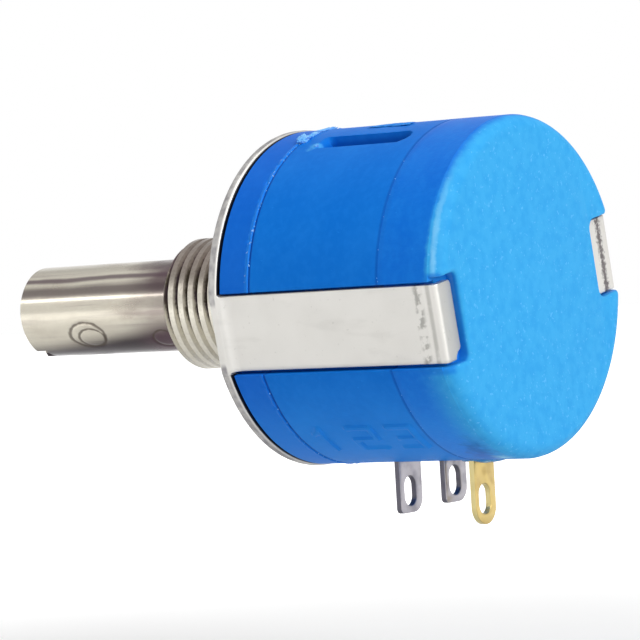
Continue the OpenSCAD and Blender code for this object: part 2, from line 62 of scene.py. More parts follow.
MM = 0.001
COVER_LO, COVER_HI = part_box("front_cover")
HOUSING_LO, HOUSING_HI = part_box("housing")
CAP_LO, CAP_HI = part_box("rear_cap")
PLATE_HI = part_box("front_plate")[1]
BUSHING_LO, BUSHING_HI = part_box("bushing")
SHAFT_LO, SHAFT_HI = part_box("shaft")
SEALANT_LO, SEALANT_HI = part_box("terminal_sealant")

# Radii of the shaft inside the body, and the height of the flat that drives the rotor
RING_GROOVE, ROTOR_SEAT, JOURNAL, SEAT_FLAT = SHAFT_HI.x - 0.47 * MM, 2.4 * MM, 2 * MM, 2 * MM
# Outer and inner radius of the cover's and the cap's tongues, which the housing's bore takes
TONGUE_OUT, TONGUE_IN = 8.58 * MM, 8.08 * MM
# Prints that set screws left on the shaft: place along it, turn round it in degrees, and half the
# length and half the width of each oval, in millimetres
SCREW_PRINTS = ((-17.6, -34.3, 1.8, 1.2), (-17.3, -38.5, 1.332, 0.9), (-10.95, -45, 1.1, 0.9))
# Share of the oval at which its ring lies
PRINT_RING = 0.86
# Strokes of the numbers 1, 2 and 3, on a field that is one wide and one high
NUMBERS = ((((0.5, 0), (0.5, 1)), ((0.5, 1), (0.2, 0.8))),
           (((0, 1), (1, 1)), ((1, 1), (1, 0.5)), ((1, 0.5), (0, 0.5)), ((0, 0.5), (0, 0)),
            ((0, 0), (1, 0))),
           (((0, 1), (1, 1)), ((1, 1), (1, 0)), ((0.2, 0.5), (1, 0.5)), ((0, 0), (1, 0))))


def linear(code):
    """Linear RGBA of a colour that is written as an sRGB hex code."""
    channels = [int(code[i:i + 2], 16) / 255 for i in (1, 3, 5)]
    return [c / 12.92 if c <= 0.04045 else ((c + 0.055) / 1.055) ** 2.4 for c in channels] + [1]


def size(name, millimetres, description):
    """A length that the user can change."""
    return FloatProperty(name=name, description=description, default=millimetres * MM, unit="LENGTH",
                         precision=5)


def angle(name, degrees, description):
    """An angle that the user can change."""
    return FloatProperty(name=name, description=description, default=math.radians(degrees),
                         subtype="ANGLE", unit="ROTATION")


def colour(name, code, description):
    """A colour that the user can change, given as an sRGB hex code."""
    return FloatVectorProperty(name=name, description=description, default=linear(code), size=4,
                               subtype="COLOR", min=0, max=1)


class ShaftSizes(bpy.types.PropertyGroup):
    """Sizes of the shaft."""

    chamfer: size("Chamfer", 0.34, "Chamfer at the knob end")
    relief_depth: size("Relief depth", 0.2, "Depth of the groove where the shaft enters the bushing")
    relief_width: size("Relief width", 0.5, "Width of that groove")
    slot_width: size("Slot width", 1.2, "Width of the screwdriver slot")
    slot_depth: size("Slot depth", 1.15, "Depth of the screwdriver slot")
    slot_angle: angle("Slot angle", 70, "Direction of the slot, from +X towards -Z")
    print_groove: size("Print groove", 0.18, "Width of the ring that a set screw pressed into the shaft")
    print_depth: size("Print depth", 0.04, "Depth of that ring")


class BushingSizes(bpy.types.PropertyGroup):
    """Sizes of the bushing and its thread."""

    pitch: size("Pitch", 0.85, "Pitch of the thread")
    depth: size("Thread depth", 0.46, "Depth of the thread")
    crest: size("Crest", 0.42, "Width of the flat on the thread's crest")
    chamfer: size("Chamfer", 0.45, "Chamfer at the front end")
    edge: size("Edge", 0.08, "Width of the softened edges")


class PlateSizes(bpy.types.PropertyGroup):
    """Sizes of the folded sheet that holds the body together."""

    edge: size("Rim radius", 0.2, "Radius on the plate's edges")
    clip_width: size("Clip width", 4.95, "Width of the two clips")
    clip_thickness: size("Clip thickness", 0.45, "Thickness of the clips")
    clip_out: size("Clip place", 10.42, "Distance from the axis to the clips' outer faces")
    clip_tilt: angle("Clip tilt", 10.85, "How far the clips are turned about the shaft")
    root: size("Clip root", 0.5, "How far the clips stand out at their roots")
    fold: size("Fold radius", 0.33, "Radius outside the fold at the clips' rear ends")
    lip: size("Lip length", 1.6, "Length of the +X clip's folded end")
    far_lip: size("Far lip length", 2.33, "Length of the -X clip's folded end")
    corner: size("Lip corner", 0.58, "Width of the corner left out of each folded end")


class MouldingSizes(bpy.types.PropertyGroup):
    """Sizes of the moulded body."""

    edge: size("Edge radius", 0.06, "Radius on the mouldings' edges")
    cover_gap: size("Cover gap", 0.26, "Width of the gap that shows behind the mounting plate")
    seam_groove: size("Seam groove", 0.07, "Depth of the groove at the front parting line")
    flash_lip: size("Flash lip", 0.06, "Height of the flash along the front parting line")
    cap_round: size("Cap rounding", 0.97, "Radius of the rear cap's rim")
    channel_floor: size("Channel floor", 9.94, "Distance from the axis to the channels' floors")
    channel_gap: size("Channel gap", 0.2, "Clearance on each side of a clip")
    pocket_round: size("Pocket rounding", 0.3, "Radius on the pockets' edges at the end face")
    near_pocket: size("Near pocket", 8.5, "Distance from the axis to the +X pocket's inner edge")
    far_pocket: size("Far pocket", 7.59, "Distance from the axis to the -X pocket's inner edge")
    pocket_corner: size("Pocket corner", 0.45, "Radius of the pockets' inner corners")
    recess_angle: angle("Recess angle", 65, "Place of the long recess, from +X towards +Z")
    recess_length: size("Recess length", 6.9, "Length of the recess")
    recess_width: size("Recess width", 1.5, "Width of the recess")
    recess_depth: size("Recess depth", 0.95, "Depth of the recess")
    recess_ramp: size("Recess ramp", 0.7, "Length of the ramp at the recess' front")
    recess_from_rear: size("Recess place", 1.35, "Distance from the recess to the housing's rear")
    number_angle: angle("Number angle", -62, "Place of the numbers' feet, from +X towards +Z")
    number_first: size("First number", 1.2, "Distance from the housing's front to the first number")
    number_pitch: size("Number pitch", 3.1, "Distance from one number to the next")
    number_width: size("Number width", 1.7, "Width of a number, along the body")
    number_height: size("Number height", 2.5, "Height of a number, round the body")
    number_relief: size("Number relief", 0.16, "How far the numbers stand out")


class TerminalSizes(bpy.types.PropertyGroup):
    """Sizes of the solder terminals."""

    neck: size("Neck width", 1, "Width of the strip inside the body")
    shoulder: size("Shoulder", 10.16, "Distance from the axis to where a terminal widens")
    eye_width: size("Eye width", 1.34, "Width of the eyes")
    eye_length: size("Eye length", 1.97, "Length of the eyes")
    eye_offset: size("Eye offset", 0.12, "How far the eyes lie off the middle")
    margin: size("Eye margin", 0.45, "Metal below the eyes of the end terminals")
    wiper_margin: size("Wiper eye margin", 0.67, "Metal below the eye of the wiper terminal")
    small_corner: size("Small corner", 0.35, "Radius of the end terminals' +X corner")
    large_corner: size("Large corner", 1, "Radius of the end terminals' -X corner")
    edge: size("Edge radius", 0.05, "Radius on the stamped edges")


class FinishColours(bpy.types.PropertyGroup):
    """Colours of the outer pieces."""

    plating: colour("Plating", "#D5D3CE", "Nickel plating on the sheet")
    turned: colour("Turned plating", "#DBD6C8", "Nickel plating on the bushing's crests")
    # The valleys' dark tone stands for dirt together with painted shade in the hollows
    valley: colour("Thread valley", "#4E463A", "Oil and dirt in the thread's valleys")
    shaft: colour("Shaft", "#DAD4C4", "Turned steel of the shaft")
    cover: colour("Cover", "#0664CE", "Moulded front cover")
    housing: colour("Housing", "#006ED2", "Moulded housing")
    cap: colour("Cap", "#006CD6", "Moulded rear cap")
    # The end face's paler colour is painted light, standing in for the stronger light on the end face
    lit_end_face: colour("Etched face", "#3BA6E3", "Etched end face of the rear cap")
    tinned: colour("Tinned", "#A9A6AC", "Tin plating on the end terminals")
    gold: colour("Gold", "#CBB373", "Gold plating on the wiper terminal")
    adhesive: colour("Adhesive", "#1F7FC0", "Drop of adhesive at the wiper terminal")


class StageSizes(bpy.types.PropertyGroup):
    """The camera, the lamps and the floor."""

    azimuth: angle("Azimuth", 126.25, "Direction that the camera looks from, round Z from -Y")
    elevation: angle("Elevation", 0.775, "Height of the camera above the horizon")
    roll: angle("Roll", -3.373, "Turn of the camera about its own line of sight")
    distance: size("Distance", 195.08, "Distance from the camera to its target")
    target: FloatVectorProperty(name="Target", description="Point that the camera looks at",
                                default=(0, 0.62 * MM, -1.51 * MM), subtype="TRANSLATION",
                                unit="LENGTH")
    lens: FloatProperty(name="Lens", description="Focal length in millimetres, on a 36 mm sensor",
                        default=164.2)
    floor_drop: size("Floor", 27, "How far the floor lies below the shaft's axis")


# Meshes


def ease(value):
    """A smooth step from 0 to 1 as value goes from 0 to 1."""
    t = min(max(value, 0), 1)
    return t * t * (3 - 2 * t)


def stations(start, end, step):
    """Evenly spread places from start to end, about a step apart."""
    count = max(1, round((end - start) / step))
    return [start + (end - start) * i / count for i in range(count + 1)]


def at_turn(radius, turn, place):
    """A point at a radius, a turn round the shaft's axis from +X towards +Z, and a place along it."""
    return Vector((radius * math.cos(turn), place, radius * math.sin(turn)))


def circle(radius, place, steps):
    """A ring of points round the shaft's axis at a place along it."""
    return [at_turn(radius, math.tau * i / steps, place) for i in range(steps)]


def bend(start, corner, end, steps=4):
    """Points of a round corner from start to end, on a true arc where both sides are equally long."""
    half_turn = (math.pi - (start - corner).angle(end - corner, math.pi / 2)) / 2
    weight = math.cos(half_turn)
    points = []
    for i in range(steps + 1):
        t = i / steps
        near, middle, far = (1 - t) ** 2, 2 * t * (1 - t) * weight, t ** 2
        points.append((start * near + corner * middle + end * far) / (near + middle + far))
    return points


def rounded_outline(corners, steps):
    """A closed outline from ((x, y), radius) pairs, with each corner rounded by its radius."""
    places = [Vector(place) for place, _ in corners]
    points = []
    for i, (_, radius) in enumerate(corners):
        point, before, after = places[i], places[i - 1], places[(i + 1) % len(places)]
        if radius:
            points += bend(point + (before - point).normalized() * radius, point,
                           point + (after - point).normalized() * radius, steps)
        else:
            points.append(point)
    return points


def loft(*walls, hollow=False):
    """Skins walls, each of rings with equally many points. A flat face joins each wall's last ring to
    the next wall's first. A hollow shape is joined at its two ends as well, and others are closed."""
    shape = bmesh.new()
    ends = []
    for rings in walls:
        rows = [[shape.verts.new(point) for point in ring] for ring in rings]
        for near, far in zip(rows, rows[1:]):
            for i, vertex in enumerate(near):
                j = (i + 1) % len(near)
                shape.faces.new((vertex, near[j], far[j], far[i]))
        for row in (rows[0], rows[-1]):
            ends.append([shape.edges.get((row[i - 1], vertex)) for i, vertex in enumerate(row)])
    if hollow:
        flats = [ends[i] + ends[(i + 1) % len(ends)] for i in range(1, len(ends), 2)]
    else:
        flats = [ends[0], ends[-1]] + [ends[i] + ends[i + 1] for i in range(1, len(ends) - 1, 2)]
    for edges in flats:
        bmesh.ops.triangle_fill(shape, use_beauty=True, use_dissolve=False, edges=edges)
    return closed_up(shape)


def closed_up(shape):
    """Merges a shape's doubles, turns its faces outwards and gives its mesh."""
    bmesh.ops.remove_doubles(shape, verts=shape.verts, dist=0.001 * MM)
    bmesh.ops.recalc_face_normals(shape, faces=shape.faces)
    mesh = bpy.data.meshes.new("shape")
    shape.to_mesh(mesh)
    shape.free()
    return mesh


def new_object(name, data):
    """An object at the origin, which holds a mesh, a curve, a lamp or a camera."""
    thing = bpy.data.objects.new(name, data)
    bpy.context.scene.collection.objects.link(thing)
    return thing


def plain_mesh(thing, mend=False):
    """A plain mesh of what an object shows with its modifiers, closed up where it needs mending."""
    bpy.context.view_layer.update()
    graph = bpy.context.evaluated_depsgraph_get()
    mesh = bpy.data.meshes.new_from_object(thing.evaluated_get(graph))
    if not mend:
        return mesh
    shape = bmesh.new()
    shape.from_mesh(mesh)
    return closed_up(shape)


def combine(thing, other, operation):
    """Adds another object to a thing or cuts it out, and removes the other object."""
    modifier = thing.modifiers.new(operation, "BOOLEAN")
    modifier.operation = operation
    modifier.solver = "EXACT"
    modifier.object = other
    mesh = plain_mesh(thing)
    thing.modifiers.clear()
    thing.data = mesh
    bpy.data.objects.remove(other)


def dress(thing, body, slot, finish, *nodes, sharp=35):
    """Finishes a piece: its material, its smooth faces, the body that it rides on and its CAD nodes."""
    thing.data.materials.clear()
    thing.data.materials.append(finish)
    thing.data.shade_smooth()
    thing.data.set_sharp_from_angle(angle=math.radians(sharp))
    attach(thing, body)
    if nodes:
        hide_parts(*nodes)


def flat_piece(name, outlines, low, high, edge):
    """A stamped plate across the shaft's axis, from low to high along it, with rounded edges. Its
    first outline is its border, and others are holes. Each point starts with x and ends with z."""
    drawing = bpy.data.curves.new(name, "CURVE")
    drawing.dimensions = "2D"
    drawing.fill_mode = "BOTH"
    drawing.extrude = (high - low) / 2 - edge
    drawing.bevel_depth = edge
    drawing.bevel_resolution = 2
    drawing.offset = -edge
    for outline in outlines:
        spline = drawing.splines.new("POLY")
        spline.points.add(len(outline) - 1)
        for point, place in zip(spline.points, outline):
            point.co = (place[0], place[-1], 0, 1)
        spline.use_cyclic_u = True
    drawn = new_object(name, drawing)
    mesh = plain_mesh(drawn, mend=True)
    bpy.data.objects.remove(drawn)
    mesh.transform(Matrix.Translation((0, (low + high) / 2, 0)) @ Matrix.Rotation(math.pi / 2, 4, "X"))
    return new_object(name, mesh)


# Nodes

# Short names for the kinds of node that come often, with their settings
SHORT_KINDS = {
    "mix": ("ShaderNodeMix", {"data_type": "RGBA"}),
    "ramp": ("ShaderNodeMapRange", {"interpolation_type": "SMOOTHSTEP"}),
    "axes": ("ShaderNodeSeparateXYZ", {}),
    "point": ("ShaderNodeCombineXYZ", {}),
    "length": ("ShaderNodeVectorMath", {"operation": "LENGTH"}),
    "distance": ("ShaderNodeVectorMath", {"operation": "DISTANCE"}),
    "dot": ("ShaderNodeVectorMath", {"operation": "DOT_PRODUCT"}),
}


def set_inputs(tree, node, *values, **named):
    """Sets or links a node's inputs: first those in use, in their order, and then others by name."""
    used = [socket for socket in node.inputs if socket.enabled]
    by_name = [(node.inputs[name.replace("_", " ")], value) for name, value in named.items()]
    for socket, value in [*zip(used, values), *by_name]:
        if isinstance(value, bpy.types.NodeSocket):
            tree.links.new(value, socket)
        else:
            socket.default_value = value


def add_node(tree, kind, *values, output=0, **settings):
    """Adds a node with its settings and inputs, and gives one of its outputs in use. The kind is a
    node's own name, a short one or the operation of a Math node, and settings with a capital are
    inputs."""
    math_node = ("ShaderNodeMath", {"operation": kind})
    full_name, standing = SHORT_KINDS.get(kind) or ((kind, {}) if "Node" in kind else math_node)
    node = tree.nodes.new(full_name)
    inputs = {name: value for name, value in settings.items() if name[0].isupper()}
    for name, value in {**standing, **settings}.items():
        if name not in inputs:
            setattr(node, name, value)
    set_inputs(tree, node, *values, **inputs)
    if isinstance(output, str):
        return node.outputs[output]
    return [socket for socket in node.outputs if socket.enabled][output]


def clip_axes(side):
    """Directions outwards through a clip and across it. Side 0 is the +X clip, and side 1 the other."""
    turn = bpy.context.scene.pot_plate.clip_tilt + side * math.pi
    return Vector((math.cos(turn), 0, -math.sin(turn))), Vector((math.sin(turn), 0, math.cos(turn)))


class Finish:
    """A material in the making: its tone so far, and the piece's own coordinates, of which along is
    the place on the shaft's axis and radius the distance from it."""

    def __init__(self, name, tone):
        self.material = bpy.data.materials.new(name)
        self.material.use_nodes = True
        self.tree = self.material.node_tree
        self.node = partial(add_node, self.tree)
        self.tone = tone
        self.place = self.node("ShaderNodeTexCoord", output="Object")
        self.x, self.along, self.up = self.node("axes", self.place, output=slice(3))
        self.radius = self.node("length", self.node("point", self.x, 0.0, self.up))

    def grain(self, millimetres, detail=2.0, stretch=(1, 1, 1), limits=None):
        """Noise whose spots are so many millimetres wide, or where it rises between two limits."""
        mapped = self.node("ShaderNodeMapping", self.place, Scale=stretch)
        spots = self.node("ShaderNodeTexNoise", mapped, 1 / (millimetres * MM), detail)
        return self.node("ramp", spots, *limits) if limits else spots

    def off(self, value, centre):
        """How far a value lies from a centre, on either side."""
        return self.node("ABSOLUTE", self.node("SUBTRACT", value, centre))

    def product(self, *masks):
        """All the masks multiplied, each of which is an output or a number."""
        return reduce(partial(self.node, "MULTIPLY"), masks)

    def over(self, tone, colour, *masks):
        """A tone with a colour laid over it, as strongly as all its masks say."""
        tones = [linear(item) if isinstance(item, str) else item for item in (tone, colour)]
        return self.node("mix", self.product(*masks), *tones)

    def paint(self, colour, *masks):
        """Lays a colour over the tone so far, as strongly as all its masks say."""
        self.tone = self.over(self.tone, colour, *masks)

    def blotch(self, colour, spot, reach, strength):
        """Lays a ragged blotch of colour round a spot."""
        off = self.node("distance", self.place, spot)
        ragged_off = self.node("MULTIPLY_ADD", self.grain(0.6, 4.0), 1.5 * reach, off)
        self.paint(colour, self.node("ramp", ragged_off, 1.6 * reach, 0.8 * reach), strength)

    def done(self, height, millimetres, **inputs):
        """The material, with its tone, a bump of so many millimetres and its shader's other inputs."""
        normal = self.node("ShaderNodeBump", 1.0, millimetres * MM, Height=height)
        shader = self.tree.nodes["Principled BSDF"]
        set_inputs(self.tree, shader, Base_Color=self.tone, Normal=normal, **inputs)
        return self.material


# Finishes


def plated_sheet(name, colour, fold_end, gap_radius, gap_place):
    """Nickel plated steel sheet, tumbled before plating, so it is satin and shows fine pits. The
    folding tool left two dull bands of spots beside the fold. The +X clip's folded end is darkened
    with painted shade, the -X one carries a painted dark reflection, the rim's outer face has painted
    grey shade in streaks, and the gap behind the plate is painted black as shadow."""
    sheet = Finish(name, colour)
    node, along = sheet.node, sheet.along
    cloud = sheet.grain(2.5, 3.0)
    sheet.paint("#8F8C86", sheet.grain(0.9, 4.0, (1, 0.25, 1), (0.56, 0.72)), 0.1)
    sheet.paint("#B3B2AE", cloud, 0.12)
    sheet.paint("#77756C", sheet.grain(0.28, 3.0, limits=(0.66, 0.78)), 0.25)
    # Each band: how far before the end, half its width, the limits of its spots and its strength
    for before, half, limits, strength in ((1.45, 0.45, (0.46, 0.62), 0.6),
                                           (0.68, 0.24, (0.1, 0.5), 0.4)):
        off = sheet.off(along, fold_end - before * MM)
        sheet.paint("#6F6E68", node("ramp", off, half * MM, 0.2 * half * MM),
                    sheet.grain(0.5, 3.0, limits=limits), strength)
    out, across = (node("dot", sheet.place, way) for way in clip_axes(0))
    # Painted shade: the +X clip's folded end is darkened with grey
    end_face = node("ramp", along, fold_end - 0.08 * MM, fold_end)
    sheet.paint("#8F9293", end_face, node("ramp", out, 0.0, 1 * MM), 0.45)
    # Painted dark reflection: a ragged dark band across the -X clip's folded end
    far_middle = -9.25 * MM
    far_lip_reflection_off = node("MULTIPLY_ADD", sheet.grain(0.25, 5.0), 1.1 * MM, sheet.off(out, far_middle))
    sheet.paint("#453A40", end_face, node("ramp", far_lip_reflection_off, 0.98 * MM, 0.6 * MM), 0.85)
    # Painted shade: grey streaks on the outer face of the plate's rim
    streaks = node("ramp", sheet.grain(0.7, 4.0), 0.3, 0.7, 0.3, 0.8)
    sheet.paint("#77747A", node("ramp", sheet.radius, gap_radius - 0.05 * MM, gap_radius + 0.03 * MM),
                node("ramp", along, gap_place - 0.08 * MM, gap_place - 0.2 * MM), streaks)
    # Painted shadow: the plate's face in the gap behind it, outside the clips, is painted near black and
    # less metallic
    clip_edge = bpy.context.scene.pot_plate.clip_width / 2
    gap_shadow = sheet.product(
        node("ramp", sheet.off(along, gap_place), 0.06 * MM, 0.03 * MM),
        node("ramp", sheet.radius, gap_radius + 0.02 * MM, gap_radius - 0.03 * MM),
        node("ramp", node("ABSOLUTE", across), clip_edge + 0.075 * MM, clip_edge + 0.175 * MM))
    sheet.paint("#0B0910", gap_shadow)
    return sheet.done(sheet.grain(0.12), 0.003, Metallic=node("MULTIPLY_ADD", gap_shadow, -0.85, 0.85),
                      Roughness=node("ramp", cloud, 0.2, 0.8, 0.38, 0.52))


def turned_bushing(name, crest, valley, root_radius):
    """Nickel plated brass with a cut thread: bright, nicked crests that painted shade darkens
    upwards, dirt and painted shade in the valleys, whose reach up the flanks changes with height,
    and a clean front face."""
    brass = Finish(name, valley)
    node, up = brass.node, brass.up
    nicks = brass.grain(0.22, 4.0)
    # Dirt and painted shade: how far the dark valley tone reaches up the flanks changes with height
    valley_dirt_and_shade = node("SUBTRACT", node("ramp", up, -3.5 * MM, 0.8 * MM, -0.5, 1.0),
                 node("ramp", up, 1.6 * MM, 3.4 * MM, 0.0, 0.6))
    level = node("MULTIPLY_ADD", valley_dirt_and_shade, -0.2 * MM, brass.radius)
    for spots, millimetres in ((brass.grain(1.2, 3.0), 0.3), (nicks, 0.25)):
        level = node("MULTIPLY_ADD", spots, millimetres * MM, level)
    threaded = node("ramp", level, root_radius + 0.3 * MM, root_radius + 0.56 * MM)
    front = BUSHING_LO.y
    face = node("ramp", brass.along, front + 0.22 * MM, front + 0.08 * MM, 0.0, 0.75)
    clean = node("MAXIMUM", threaded, face)
    brass.paint("#4A3A44", brass.grain(1.6, limits=(0.4, 0.6)))
    # Painted shade: the crests darken towards the top, and their nicks show more there
    crest = brass.over(crest, "#83766F", node("ramp", up, -0.5 * MM, 3 * MM), 0.85)
    crest = brass.over(crest, "#7E726C", node("ramp", nicks, 0.47, 0.6),
                       node("ramp", up, -2 * MM, 3.5 * MM, 0.1, 0.4))
    brass.paint(crest, clean)
    return brass.done(nicks, 0.02, Metallic=0.9, Roughness=node("ramp", clean, 0.0, 1.0, 0.5, 0.3))


def turned_shaft(name, colour):
    """Steel drawn to size and then turned, and handled since: streaks along it, fine rings from the
    tool, two painted dark reflections along its upper side, painted shade along its underside, a
    darker tone towards the bushing, and the prints of set screws."""
    steel = Finish(name, colour)
    node, along = steel.node, steel.along
    rings = steel.grain(0.07, 2.0, (0.1, 1, 0.1))
    stain = steel.grain(1.6, 4.0, (1, 0.3, 1), (0.45, 0.7))
    steel.paint("#8D8680", rings, 0.2)
    steel.paint("#86797A", steel.grain(0.5, 3.0, (1, 0.04, 1), (0.5, 0.75)), 0.35)
    steel.paint("#8A7466", stain, 0.22)
    around = node("ARCTAN2", steel.up, steel.x)
    wander = node("MULTIPLY_ADD", steel.grain(1.5, 3.0, (1, 0.3, 1)), 0.12, around)
    on_side = node("ramp", steel.radius, SHAFT_HI.x - 0.4 * MM, SHAFT_HI.x - 0.2 * MM)
    # Each painted dark reflection along the upper side: its turn round the shaft, half its width and its
    # strength
    for turn, half, strength in ((0.82, 0.11, 0.8), (0.5, 0.2, 0.65)):
        streak = node("ramp", steel.off(wander, turn), half, 0.2 * half)
        steel.paint("#56434E", streak, on_side, strength)
    # Painted shade: the shaft's underside turns dark, reaching further up towards the bushing
    shaded_underside = node("ADD", wander, node("ramp", along, SHAFT_LO.y, BUSHING_LO.y, 0.0, -0.45))
    steel.paint("#261826", node("ramp", shaded_underside, -0.62, -1.15), node("ramp", wander, -2.4, -1.7),
                on_side, 0.95)
    # Darker towards the bushing, more so on the top and the underside
    darker_at_bushing = node("ramp", node("MULTIPLY_ADD", stain, 1.5 * MM, along),
                 BUSHING_LO.y - 5 * MM, BUSHING_LO.y - 0.5 * MM)
    steel.paint("#5C4850", darker_at_bushing, node("ramp", node("ABSOLUTE", wander), 0.1, 0.85, 0.45, 0.9))
    for centre, turn, half_length, half_width in SCREW_PRINTS:
        across = node("MULTIPLY", node("SUBTRACT", around, math.radians(turn)),
                      SHAFT_HI.x / (half_width * MM))
        down = node("DIVIDE", node("SUBTRACT", along, centre * MM), half_length * MM)
        off = steel.off(node("length", node("point", across, down)), PRINT_RING)
        blurred = node("MULTIPLY_ADD", steel.grain(0.35, 3.0), 0.14, off)
        steel.paint("#50463E", node("ramp", blurred, 0.2, 0.09), 0.75)
    return steel.done(rings, 0.004, Metallic=0.9, Roughness=node("ramp", stain, 0.0, 1.0, 0.17, 0.3))


def moulded_plastic(name, colour, pale):
    """Glass filled polyester, moulded: satin and faintly mottled, with pale scuffs, fine pimples and
    painted light from below that makes it paler underneath."""
    body = Finish(name, colour)
    body.paint(pale, body.grain(3.5, 3.0, limits=(0.3, 0.75)), 0.3)
    body.paint(pale, body.grain(0.5, 3.0, limits=(0.4, 0.7)), 0.22)
    body.paint(pale, body.grain(0.3, 4.0, (1, 0.6, 1), (0.68, 0.76)), 0.5)
    # Painted light from below: the underside is paler
    body.paint("#3AA0F4", body.node("ramp", body.up, -4.5 * MM, -9.5 * MM), 0.32)
    return body


def side_plastic(name, colour, pale, torn_edge=None, seam_shades=(), highlight_spots=()):
    """The moulded finish of the cover, the housing and their flash. A torn edge is paler, where flash
    broke off, with a painted highlight along it that grows above the middle. Hollows and a thin line
    in each seam get painted shade, and each highlight spot is a painted highlight. A seam shade is its
    place and its strength, and a highlight spot is its spot, its reach in millimetres and its strength."""
    side = moulded_plastic(name, colour, pale)
    node = side.node
    if torn_edge:
        # The torn edge's pale band is paler flash and a painted highlight that grows above the middle
        torn = node("MULTIPLY_ADD", side.grain(0.35, 3.0), 0.2 * MM, side.along)
        upper = node("ramp", side.up, -3.5 * MM, 3 * MM, 0.15, 0.75)
        whitened_and_highlit = side.over("#2386EA", "#C2E6FF", side.grain(0.3, limits=(0.62, 0.72)), upper)
        side.paint(whitened_and_highlit, node("ramp", torn, torn_edge - 0.26 * MM, torn_edge - 0.08 * MM), upper)
    # Painted shade: the recess, the channels and other hollows below the body's surface are darkened
    depth = node("SUBTRACT", body_radius((HOUSING_LO.y + HOUSING_HI.y) / 2), side.radius)
    side.paint("#034AA8", node("ramp", depth, 0.12 * MM, 0.6 * MM), 0.6)
    # Painted shade: a thin dark line along each parting line
    for seam, strength in seam_shades:
        off = side.off(side.along, seam)
        side.paint("#0640A0", node("ramp", off, 0.24 * MM, 0.08 * MM), strength)
    # Painted highlight: a ragged pale spot at each given place
    for spot, reach, strength in highlight_spots:
        side.blotch("#62C2F6", spot, reach * MM, strength)
    return side.done(side.grain(0.16, 3.0), 0.008, Roughness=0.5, Specular_IOR_Level=0.08)


def cap_plastic(name, colour, pale, lit_end_face, rear):
    """The moulded finish of the rear cap. Its end face is painted paler, standing in for the light
    that falls on it, and is duller. That painted light spreads further round the rim below the
    middle and less far near the top, and a painted highlight runs along the rim at middle heights.
    The clips' pockets get painted shade, and blotches of painted shade and a pale smear lie at the
    wiper terminal."""
    cap = moulded_plastic(name, colour, pale)
    node, along = cap.node, cap.along
    # The painted light on the end face reaches further round the rim below the middle and less far near
    # the top
    wear_and_painted_light = node("ramp", cap.up, 1.5 * MM, -4 * MM)
    upper = node("ramp", cap.up, 2 * MM, 9 * MM)
    start = node("MULTIPLY_ADD", upper, 0.2 * MM,
                 node("MULTIPLY_ADD", wear_and_painted_light, -1.9 * MM, rear - 1.05 * MM))
    end = node("MULTIPLY_ADD", upper, 0.65 * MM,
               node("MULTIPLY_ADD", wear_and_painted_light, 0.45 * MM, rear - 0.7 * MM))
    wavy = node("MULTIPLY_ADD", cap.grain(0.5, 4.0), 0.3 * MM, along)
    out, across = (node("dot", cap.place, way) for way in clip_axes(0))
    mouldings = bpy.context.scene.pot_mouldings
    near = mouldings.near_pocket - 0.35 * MM
    far = 0.35 * MM - mouldings.far_pocket
    pockets = node("MAXIMUM", node("ramp", out, near, near + 0.2 * MM),
                   node("ramp", out, far, far - 0.2 * MM))
    # Painted shade: the clips' pockets get less of the end face's painted light
    sunk = cap.product(pockets, node("ramp", node("ABSOLUTE", across), 3.3 * MM, 3.0 * MM),
                       node("ramp", along, rear - 0.1 * MM, rear - 0.3 * MM))
    # Painted light: the end face and the rim round it are painted paler than the side
    face = cap.product(node("ramp", wavy, start, end), node("MULTIPLY_ADD", sunk, -0.6, 1.0))
    lit_end_face = cap.over(lit_end_face, "#2495DC", cap.grain(0.7, 4.0, limits=(0.35, 0.7)), 0.5)
    lit_end_face = cap.over(lit_end_face, "#6CC0F4", cap.grain(0.22, 3.0, limits=(0.62, 0.72)), 0.5)
    # Painted highlight: a pale ragged line along the rim, strongest at middle heights
    patchy = node("ramp", cap.grain(1.6, 3.0), 0.35, 0.6, 0.25, 0.75)
    rim_highlight = cap.over(lit_end_face, "#A6E4FF", patchy,
                         node("ramp", cap.off(wavy, rear - 0.4 * MM), 0.25 * MM, 0.05 * MM),
                         node("MULTIPLY_ADD", wear_and_painted_light, -0.5, 0.5), node("SUBTRACT", 1.0, upper))
    cap.paint(rim_highlight, face)
    # Each blotch beside the wiper terminal, the dark ones painted shade and the pale one a smear: its
    # turn in degrees, its distance from the seam, its reach, strength and colour
    for turn, from_seam, reach, strength, code in ((-60, 2.7, 1.5, 0.4, "#1A74BA"),
                                                   (-67, 2.3, 1.7, 0.6, "#0B58A8"),
                                                   (-74, 1.9, 1.5, 0.5, "#2A62C0"),
                                                   (-77, 3.0, 1.0, 0.6, "#9FE4F8")):
        spot = at_turn(body_radius(rear), math.radians(turn), HOUSING_HI.y + from_seam * MM)
        cap.blotch(code, spot, reach * MM, strength)
    return cap.done(cap.grain(0.2, 4.0), 0.014, Specular_IOR_Level=0.1,
                    Roughness=node("ramp", face, 0.0, 1.0, 0.45, 0.55))


def plated_terminal(name, colour, wear_and_painted_light, roughness, low, high, edge_tone):
    """Plated brass strip, blanked by a press: bright, with smudges from handling and soldering, and
    torn edges that took the plating otherwise."""
    strip = Finish(name, colour)
    node, half = strip.node, (high - low) / 2
    smudge = strip.grain(1.1, 4.0, limits=(0.45, 0.75))
    strip.paint(wear_and_painted_light, smudge, 0.45)
    off = strip.off(strip.along, (low + high) / 2)
    torn = node("ramp", off, half - 0.02 * MM, half - 0.06 * MM)
    strip.paint(edge_tone, torn, 0.8)
    return strip.done(strip.grain(0.15, 3.0), 0.004,
                      Metallic=node("ramp", torn, 0.0, 1.0, 0.9, 0.5),
                      Roughness=node("ramp", smudge, 0.0, 1.0, roughness, roughness + 0.15))


